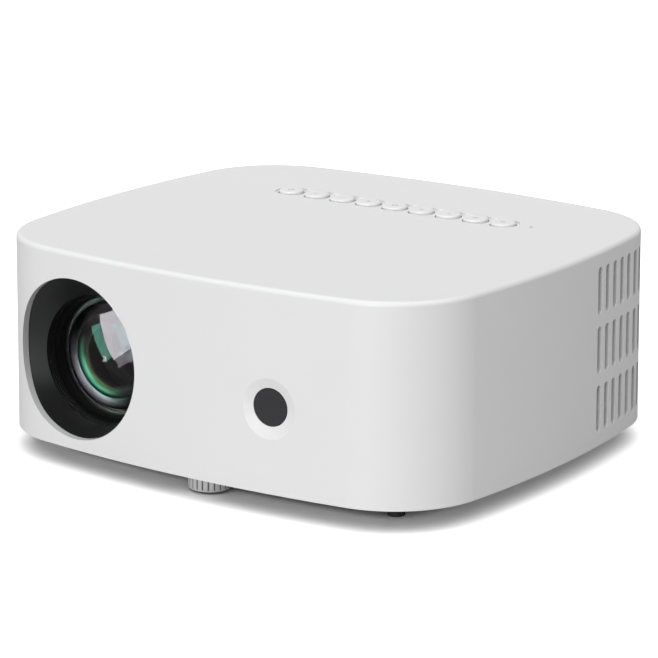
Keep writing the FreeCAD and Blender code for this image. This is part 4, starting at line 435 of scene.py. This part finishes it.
def inletFinish():
    # black well, two bright pins picked out by their distance from the pin axes
    material, tree, shader, place = startMaterial("powerInletFinish")
    axes = splitPlace(tree, centredPlace(tree, place, middleOf("power_inlet")))
    across = addMath(tree, "SUBTRACT", addMath(tree, "ABSOLUTE", axes[0]),
                     powerInlet["pinOffset"] * mm)
    pin = addMath(tree, "LESS_THAN", reachFrom(tree, across, axes[2]),
                  powerInlet["pinRadius"] * mm)
    colourInto(tree, shader, blendColours(tree, pin, powerInlet["well"], powerInlet["pin"]))
    tree.links.new(pin, shader.inputs["Metallic"])
    smoother = powerInlet["wellRoughness"] - powerInlet["pinRoughness"]
    tree.links.new(addMath(tree, "SUBTRACT", powerInlet["wellRoughness"],
                           addMath(tree, "MULTIPLY", pin, smoother)),
                   shader.inputs["Roughness"])
    surface = placeGrain(tree, place, powerInlet["grain"])
    bumpInto(tree, shader, surface["Height"], *powerInlet["bump"])
    return material


ledModule = {"roughness": 0.35, "grain": 900.0, "phosphor": (0.75, 0.6, 0.12),
             "board": ((0.7, 0.7, 0.68), (0.78, 0.78, 0.76))}


def ledFinish():
    # white board, yellow phosphor where the dome stands in front of it
    material, tree, shader, place = startMaterial("ledFinish",
                                                  {"Roughness": ledModule["roughness"]})
    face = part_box("led_module")[1].x - circuitBoards["thickness"] * mm
    dome = addMath(tree, "LESS_THAN", splitPlace(tree, place)[0], face)
    surface = placeGrain(tree, place, ledModule["grain"])
    board = mottled(tree, surface["Cloud"], *ledModule["board"])
    colourInto(tree, shader, blendColours(tree, dome, board, ledModule["phosphor"]))
    return material


# marks on the keys, in millimetres from the middle of the key: bars have x, y, half length, half
# width and degrees, rings have x, y, radius, half width and half of the gap at the back
keyMarks = {
    "colour": (0.16, 0.16, 0.165), "cap": ((0.76, 0.76, 0.765), shellWhite),
    "roughness": 0.33, "spread": 0.03, "bump": (0.5, 0.006), "belowTop": 0.1,
    "marks": (
        (("ring", 0, 0, 1.25, 0.16, 0.55), ("bar", 0, 0.9, 0.75, 0.16, 90)),
        (("bar", -0.35, 0.5, 0.95, 0.16, 35), ("bar", -0.35, -0.5, 0.95, 0.16, -35)),
        (("bar", 0, 0, 1.2, 0.16, 0),),
        (("bar", -0.45, 0, 1.1, 0.2, 90), ("bar", 0.45, 0, 1.1, 0.2, 90)),
        (("ring", 0, 0, 1.15, 0.18, 0),),
        (("bar", 0, 0, 1.2, 0.16, 0), ("bar", 0, 0, 1.2, 0.16, 90)),
        (("bar", 0.35, 0.5, 0.95, 0.16, -35), ("bar", 0.35, -0.5, 0.95, 0.16, 35)),
        (("bar", 0, 0.75, 1.2, 0.14, 0), ("bar", 0, 0, 1.2, 0.14, 0),
         ("bar", 0, -0.75, 1.2, 0.14, 0)),
        (("bar", 0, 0.6, 0.9, 0.16, 0), ("bar", 0, -0.6, 0.9, 0.16, 0),
         ("bar", -0.75, 0, 0.75, 0.16, 90), ("bar", 0.75, 0, 0.75, 0.16, 90)))}


def barMask(tree, place, centre, halfLength, halfWidth, degrees):
    # 1 where both turned coordinates are below their half sizes
    axes = splitPlace(tree, centredPlace(tree, place, centre, degrees))
    insides = [addMath(tree, "LESS_THAN", addMath(tree, "ABSOLUTE", axis), half * mm)
               for axis, half in zip(axes[:2], (halfLength, halfWidth))]
    return addMath(tree, "MULTIPLY", *insides)


def ringMask(tree, place, centre, radius, halfWidth, halfGap):
    # 1 where the distance is near the radius, less a gap on the side away from the user
    axes = splitPlace(tree, centredPlace(tree, place, centre))
    band = addMath(tree, "COMPARE", reachFrom(tree, axes[0], axes[1]), radius * mm,
                   halfWidth * mm)
    gap = addMath(tree, "MULTIPLY",
                  addMath(tree, "LESS_THAN", addMath(tree, "ABSOLUTE", axes[0]), halfGap * mm),
                  addMath(tree, "GREATER_THAN", axes[1], 0.0))
    return addMath(tree, "MAXIMUM", addMath(tree, "SUBTRACT", band, gap), 0.0)


def keyFinish(number):
    # white cap with its printed mark: the highest mask of its bars and rings, on the top alone
    material, tree, shader, place = startMaterial("keyFinish%d" % number)
    node = "key_%d" % number
    masks = []
    for kind, x, y, *sizes in keyMarks["marks"][number - 1]:
        makeMask = barMask if kind == "bar" else ringMask
        masks.append(makeMask(tree, place, middleOf(node) + Vector((x, y, 0)) * mm, *sizes))
    printed = masks[0]
    for mask in masks[1:]:
        printed = addMath(tree, "MAXIMUM", printed, mask)
    onTop = addMath(tree, "GREATER_THAN", splitPlace(tree, place)[2],
                    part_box(node)[1].z - keyMarks["belowTop"] * mm)
    mark = addMath(tree, "MULTIPLY", printed, onTop)
    surface = placeGrain(tree, place)
    cap = mottled(tree, surface["Cloud"], *keyMarks["cap"])
    colourInto(tree, shader, blendColours(tree, mark, cap, keyMarks["colour"]))
    glossInto(tree, shader, surface["Cloud"], keyMarks["roughness"], keyMarks["spread"])
    bumpInto(tree, shader, surface["Height"], *keyMarks["bump"])
    return material


finishes.update(smokedWindow=smokedWindowFinish(), ventScreen=ventScreenFinish(),
                powerInlet=inletFinish(), ledModule=ledFinish())
for name, board in circuitBoards["finishes"].items():
    finishes[name] = boardFinish(name, *board)

# which nodes have which finish; the keys come after, each with its own mark
nodesIn = {
    "whiteShell": ("upper_housing", "base_cover", "tray_bezel"), "whiteKey": ("eject_button",),
    "greyPanel": ("rear_port_panel",), "ventScreen": ("vent_screens",),
    "blackRubber": ("rubber_feet", "foot_pad"), "blackHood": ("lens_hood",),
    "blackBarrel": ("lens_barrel", "disc_hub"), "blackRing": ("retaining_rings",),
    "blackInner": ("lens_mount", "engine_case", "engine_lid", "fan_frame", "fan_rotor", "speaker"),
    "blackTray": ("disc_tray",), "naturalRail": ("tray_rails",), "blackSocket": ("audio_jacks",),
    "pickupBlack": ("pickup",), "smokedWindow": ("sensor_window",),
    "coatedGlass": ("front_lens",), "greenGlass": ("middle_lens", "rear_lens"),
    "clearGlass": ("fresnel_lenses", "lcd_panel", "heat_glass", "condenser_lens"),
    "guideGlass": ("light_pipe",), "mirrorSilver": ("fold_mirror",),
    "brightSteel": ("housing_screws", "focus_motor", "spindle_motor", "pickup_rods", "feed_motor",
                    "hdmi_sockets", "usb_socket"),
    "zincSheet": ("drive_pan", "drive_cover"), "bareAluminium": ("heat_sink",),
    "feedThread": ("feed_screw",), "focusThread": ("focus_screw",),
    "insertThread": ("tripod_insert",), "wheelFinish": ("height_wheel",),
    "powerInlet": ("power_inlet",), "ledModule": ("led_module",),
    "mainBoardFinish": ("main_board",), "powerBoardFinish": ("power_board",),
    "keyBoardFinish": ("key_board",)}
finishOf = {node: finishes[name] for name, members in nodesIn.items() for node in members}
for number in range(1, len(keyMarks["marks"]) + 1):
    finishOf["key_%d" % number] = keyFinish(number)
for name, node in nodes.items():
    node.data.materials.clear()
    node.data.materials.append(finishOf[name])
print("finishes set:", len(bpy.data.materials), "materials")


def addPiece(name, vertices, faces, material, body, smooth=True):
    mesh = bpy.data.meshes.new(name)
    mesh.from_pydata(vertices.reshape(-1, 3).tolist(), [], faces.tolist())
    mesh.materials.append(material)
    mesh.polygons.foreach_set("use_smooth", np.full(len(mesh.polygons), smooth))
    mesh.update()
    piece = bpy.data.objects.new(name, mesh)
    bpy.context.scene.collection.objects.link(piece)
    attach(piece, body)
    return piece


def gridFaces(rows, columns):
    # quads between neighbouring rows of points; the last column joins the first
    row, column = np.meshgrid(np.arange(rows - 1), np.arange(columns), indexing="ij")
    following = (column + 1) % columns
    corners = (row * columns + column, row * columns + following,
               (row + 1) * columns + following, (row + 1) * columns + column)
    return np.stack([corner.ravel() for corner in corners], axis=1)


def anglesRound(steps):
    return np.linspace(0, 2 * np.pi, steps, endpoint=False)[None, :]


def gridPoints(x, y, z):
    return np.stack(np.broadcast_arrays(x, y, z), axis=-1)


# coated collars behind the front lens: shallow bowls that are green inside, purple outside; a
# bowl's outer and inner rims have a radius and a depth behind the lens's rear edge, and the dip
# between them, in millimetres
coatedCollars = {
    # the side angle in degrees is where a painted crescent reflection is strongest, and fade is
    # the span over which it dims to the dark colour
    "steps": 96, "rows": 12, "roughness": 0.32, "thickSide": 220.0, "fade": (0.35, 0.97),
    "bare": (0.004, 0.004, 0.0045), "span": (12.6, 22.0), "grain": 900.0, "bump": (0.05, 0.002),
    "bands": ((0.0, (0.012, 0.01, 0.008)), (0.1, (0.004, 0.004, 0.003)),
              (0.24, (0.006, 0.012, 0.005)), (0.37, (0.05, 0.2, 0.125)),
              (0.45, (0.016, 0.05, 0.035)), (0.5, (0.006, 0.01, 0.01)),
              (0.64, (0.02, 0.03, 0.03)), (0.85, (0.042, 0.033, 0.042)),
              (1.0, (0.012, 0.012, 0.014))),
    "bowls": {"outerCoating": {"outer": (22.2, -1.1), "inner": (17.5, 0.9), "dip": 0.45},
              "innerCoating": {"outer": (17.4, -0.9), "inner": (12.6, 1.3), "dip": 0.9}}}


def coatingFinish():
    # the colour runs with the distance from the lens axis, from a dark rim through green to purple
    material, tree, shader, place = startMaterial(
        "coatingFinish", {"Metallic": 1.0, "Roughness": coatedCollars["roughness"]})
    axes = splitPlace(tree, centredPlace(tree, place, middleOf("front_lens")))
    across, up = axes[0], axes[2]
    reach = reachFrom(tree, across, up)
    inner, outer = coatedCollars["span"]
    share = addNode(tree, "ShaderNodeMapRange", {"Value": reach, "From Min": inner * mm,
                                                 "From Max": outer * mm})
    bands = addNode(tree, "ShaderNodeValToRGB", {"Fac": share.outputs["Result"]})
    elements = bands.color_ramp.elements
    elements.remove(elements[1])
    for index, (position, colour) in enumerate(coatedCollars["bands"]):
        element = elements[0] if index == 0 else elements.new(position)
        element.color = (*colour, 1)
    # the colours are strong on one side only and fade round the axis: a painted reflection that
    # stands in for the crescents the lamps make there
    crescentAngle = math.radians(coatedCollars["thickSide"])
    towards = addMath(tree, "ADD", addMath(tree, "MULTIPLY", across, math.cos(crescentAngle)),
                      addMath(tree, "MULTIPLY", up, math.sin(crescentAngle)))
    paintedCrescent = addNode(tree, "ShaderNodeMapRange", {
        "Value": addMath(tree, "DIVIDE", towards, reach), "From Min": coatedCollars["fade"][0],
        "From Max": coatedCollars["fade"][1]}, interpolation_type="SMOOTHSTEP")
    colourInto(tree, shader, blendColours(tree, paintedCrescent.outputs["Result"], coatedCollars["bare"],
                                          bands.outputs["Color"]))
    surface = placeGrain(tree, place, coatedCollars["grain"])
    bumpInto(tree, shader, surface["Height"], *coatedCollars["bump"])
    return material


def makeCoatedCollar(name, bowl):
    # radius and depth run straight from rim to rim, plus a parabola that makes the bowl hollow
    share = np.linspace(0, 1, coatedCollars["rows"])[:, None]
    angle = anglesRound(coatedCollars["steps"])
    middle = middleOf("front_lens") / mm
    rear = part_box("front_lens")[1].y / mm
    (outerRadius, outerDepth), (innerRadius, innerDepth) = bowl["outer"], bowl["inner"]
    radius = outerRadius + (innerRadius - outerRadius) * share
    depth = outerDepth + (innerDepth - outerDepth) * share + bowl["dip"] * 4 * share * (1 - share)
    points = gridPoints(middle.x + radius * np.cos(angle), rear + depth,
                        middle.z + radius * np.sin(angle))
    return addPiece(name, points * mm, gridFaces(coatedCollars["rows"], coatedCollars["steps"]),
                    coating, "lens")


coating = coatingFinish()
for name, bowl in coatedCollars["bowls"].items():
    makeCoatedCollar(name, bowl)
print("lens coatings made")

# housing screws: a pan head with a cross recess under the base, on a threaded shank
housingScrews = {
    "places": ((-102, -50), (102, -50), (-91.5, 80), (91.5, 80)),
    "headRadius": 2.6, "headLow": 8.6, "headHeight": 1.6, "headRows": 27, "headSteps": 96,
    "domeRise": 0.35, "domePower": 4, "neckRadius": 0.4,
    "recessReach": 1.5, "recessHalf": 0.36, "recessDepth": 0.95, "recessSlope": 2.2,
    "shankRadius": 1.25, "shankLength": 12.0, "shankRows": 145, "shankSteps": 24,
    "shankOverlap": 0.1, "shankTaper": 20, "pitch": 1.0, "threadDepth": 0.18}


def makeScrewHead(x, y):
    # height of the face, which looks down: a shallow dome that rises to its rim, and in it a cross
    # recess whose depth eases off outwards; then the side, and the back that closes on the shank
    screw = housingScrews
    radius = np.linspace(0, screw["headRadius"], screw["headRows"])[:, None]
    angle = anglesRound(screw["headSteps"])
    across, up = radius * np.cos(angle), radius * np.sin(angle)
    dome = screw["domeRise"] * (radius / screw["headRadius"]) ** screw["domePower"]
    arm = np.minimum(np.abs(across), np.abs(up)) < screw["recessHalf"]
    reach = np.clip(1 - np.maximum(np.abs(across), np.abs(up)) / screw["recessReach"], 0, 1)
    cross = screw["recessDepth"] * arm * np.minimum(1, reach * screw["recessSlope"])
    rows = [gridPoints(x + across, y + up, screw["headLow"] + dome + cross)]
    for rim in (screw["headRadius"], screw["neckRadius"]):
        rows.append(gridPoints(x + rim * np.cos(angle), y + rim * np.sin(angle),
                               screw["headLow"] + screw["headHeight"]))
    return np.concatenate(rows)[:, ::-1]


def makeShank(x, y):
    # radius of the shank: a triangle wave that climbs one pitch in each turn, closed at both ends
    screw = housingScrews
    share = np.linspace(0, 1, screw["shankRows"])[:, None]
    angle = anglesRound(screw["shankSteps"])
    low = screw["headLow"] + screw["headHeight"] - screw["shankOverlap"]
    along = share * screw["shankLength"]
    turns = along / screw["pitch"] - angle / (2 * np.pi)
    wave = np.abs((turns % 1) - 0.5) * 2
    ends = np.clip(np.minimum(share, 1 - share) * screw["shankTaper"], 0, 1)
    radius = (screw["shankRadius"] - screw["threadDepth"] * wave) * ends
    return gridPoints(x + radius * np.cos(angle), y + radius * np.sin(angle), low + along)


screwPoints, screwFaces, base = [], [], 0
for x, y in housingScrews["places"]:
    for points in (makeScrewHead(x, y), makeShank(x, y)):
        screwPoints.append(points.reshape(-1, 3))
        screwFaces.append(gridFaces(*points.shape[:2]) + base)
        base += points.shape[0] * points.shape[1]
screws = addPiece("crossScrews", np.concatenate(screwPoints) * mm, np.concatenate(screwFaces),
                  finishes["brightSteel"], "housing", smooth=False)
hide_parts("housing_screws")
print("housing screws made")

# the floor is brighter to the camera than to the light that it bounces; the world is white to the
# camera, to metal and to glass, and dim as a light
stage = {"floorSize": 12.0, "floorBounce": 0.6, "floorSeen": 1.85, "worldStrength": 0.15,
         "lamps": {"overhead": {"strength": 2.1, "spread": 96.0, "towards": (-0.12, 0.15, -1.0)},
                   "frontFill": {"strength": 1.71, "spread": 30.0,
                                 "towards": (-0.14, 1.0, -0.2)}}}


def makeFloor():
    mesh = bpy.data.meshes.new("floor")
    half = stage["floorSize"] / 2
    mesh.from_pydata([(-half, -half, 0), (half, -half, 0), (half, half, 0), (-half, half, 0)],
                     [], [(0, 1, 2, 3)])
    material = bpy.data.materials.new("whiteFloor")
    material.use_nodes = True
    tree = material.node_tree
    tree.nodes.clear()
    path = tree.nodes.new("ShaderNodeLightPath")
    bounced, seen = [addNode(tree, "ShaderNodeBsdfDiffuse", {"Color": (*(level,) * 3, 1)})
                     for level in (stage["floorBounce"], stage["floorSeen"])]
    chosen = addNode(tree, "ShaderNodeMixShader", {
        0: path.outputs["Is Camera Ray"], 1: bounced.outputs[0], 2: seen.outputs[0]})
    addNode(tree, "ShaderNodeOutputMaterial", {"Surface": chosen.outputs[0]})
    mesh.materials.append(material)
    floor = bpy.data.objects.new("floor", mesh)
    bpy.context.scene.collection.objects.link(floor)
    return floor


def makeWorld():
    world = bpy.data.worlds.new("studio")
    bpy.context.scene.world = world
    world.use_nodes = True
    tree = world.node_tree
    tree.nodes.clear()
    path = tree.nodes.new("ShaderNodeLightPath")
    seen = addMath(tree, "MAXIMUM", path.outputs["Is Camera Ray"], addMath(
        tree, "MAXIMUM", path.outputs["Is Glossy Ray"], path.outputs["Is Transmission Ray"]))
    strength = addNode(tree, "ShaderNodeMapRange", {
        "Value": seen, "To Min": stage["worldStrength"], "To Max": 1.0})
    glow = addNode(tree, "ShaderNodeBackground", {"Color": (1, 1, 1, 1),
                                                  "Strength": strength.outputs["Result"]})
    addNode(tree, "ShaderNodeOutputWorld", {"Surface": glow.outputs[0]})


def addLamp(name, lamp):
    sun = bpy.data.lights.new(name, "SUN")
    sun.energy = lamp["strength"]
    sun.angle = math.radians(lamp["spread"])
    sunObject = bpy.data.objects.new(name, sun)
    sunObject.rotation_euler = Vector(lamp["towards"]).to_track_quat("-Z", "Y").to_euler()
    bpy.context.scene.collection.objects.link(sunObject)
    return sunObject


floor = makeFloor()
makeWorld()
lamps = {name: addLamp(name, lamp) for name, lamp in stage["lamps"].items()}
# the low lamp passes the floor by, so that the shadow stays deep at the object's foot
passedBy = bpy.data.collections.new("passedByFill")
passedBy.objects.link(floor)
passedBy.collection_objects[0].light_linking.link_state = "EXCLUDE"
lamps["frontFill"].light_linking.receiver_collection = passedBy
print("floor, world and lamps set")

# small soft boxes in front of the lens: they light the front lens alone, and show as its gleams
lensBoxes = {
    "lit": ("front_lens",), "facing": (0.5257, 0.8506, 0.0042),
    "boxes": {
        "window": {"power": 0.31, "tint": (0.93, 1, 0.94), "size": (0.05, 0.0748),
                   "centre": (-0.1121, -0.1833, 0.0569), "along": (0.7333, -0.4557, 0.5046)},
        "strip": {"power": 0.02, "tint": (1, 1, 1), "size": (0.0404, 0.0207),
                  "centre": (-0.0926, -0.1922, 0.0164), "along": (0.7816, -0.485, 0.3922)},
        "greenStrip": {"power": 0.04, "tint": (0.3, 1, 0.7), "size": (0.022, 0.0593),
                       "centre": (-0.1393, -0.1707, 0.0349),
                       "along": (0.7081, -0.4403, 0.5521)}}}


def addLensBox(box, lensParts):
    light = bpy.data.lights.new("lensBox", "AREA")
    light.shape = "RECTANGLE"
    light.energy = box["power"]
    light.color = box["tint"]
    light.size, light.size_y = box["size"]
    boxObject = bpy.data.objects.new("lensBox", light)
    # its own axes: back to the lens, and side as near to along as the right angle allows
    back = -Vector(lensBoxes["facing"]).normalized()
    side = (Vector(box["along"]) - back * back.dot(Vector(box["along"]))).normalized()
    turned = Matrix((side, back.cross(side), back)).transposed().to_4x4()
    boxObject.matrix_world = Matrix.Translation(box["centre"]) @ turned
    boxObject.visible_camera = False
    boxObject.visible_diffuse = False
    boxObject.light_linking.receiver_collection = lensParts
    bpy.context.scene.collection.objects.link(boxObject)


lensParts = bpy.data.collections.new("lensParts")
for name in lensBoxes["lit"]:
    lensParts.objects.link(nodes[name])
for box in lensBoxes["boxes"].values():
    addLensBox(box, lensParts)
print("lens boxes set")

# roll is in degrees, clipStart in metres, the lens and the film in millimetres
camera = {"place": (0.7073, -1.0061, 0.3769), "towards": (-0.5558, 0.7901, -0.2584),
          "lens": 164.7, "roll": 0.078, "filmWidth": 36.0, "clipStart": 0.05}
lens = bpy.data.cameras.new("camera")
lens.lens = camera["lens"]
lens.sensor_width = camera["filmWidth"]
lens.clip_start = camera["clipStart"]
viewer = bpy.data.objects.new("camera", lens)
viewer.location = camera["place"]
viewer.rotation_euler = Vector(camera["towards"]).to_track_quat("-Z", "Y").to_euler()
viewer.rotation_euler.rotate_axis("Z", math.radians(camera["roll"]))
bpy.context.scene.collection.objects.link(viewer)
bpy.context.scene.camera = viewer
bpy.context.scene.view_settings.view_transform = "Standard"
print("camera set")
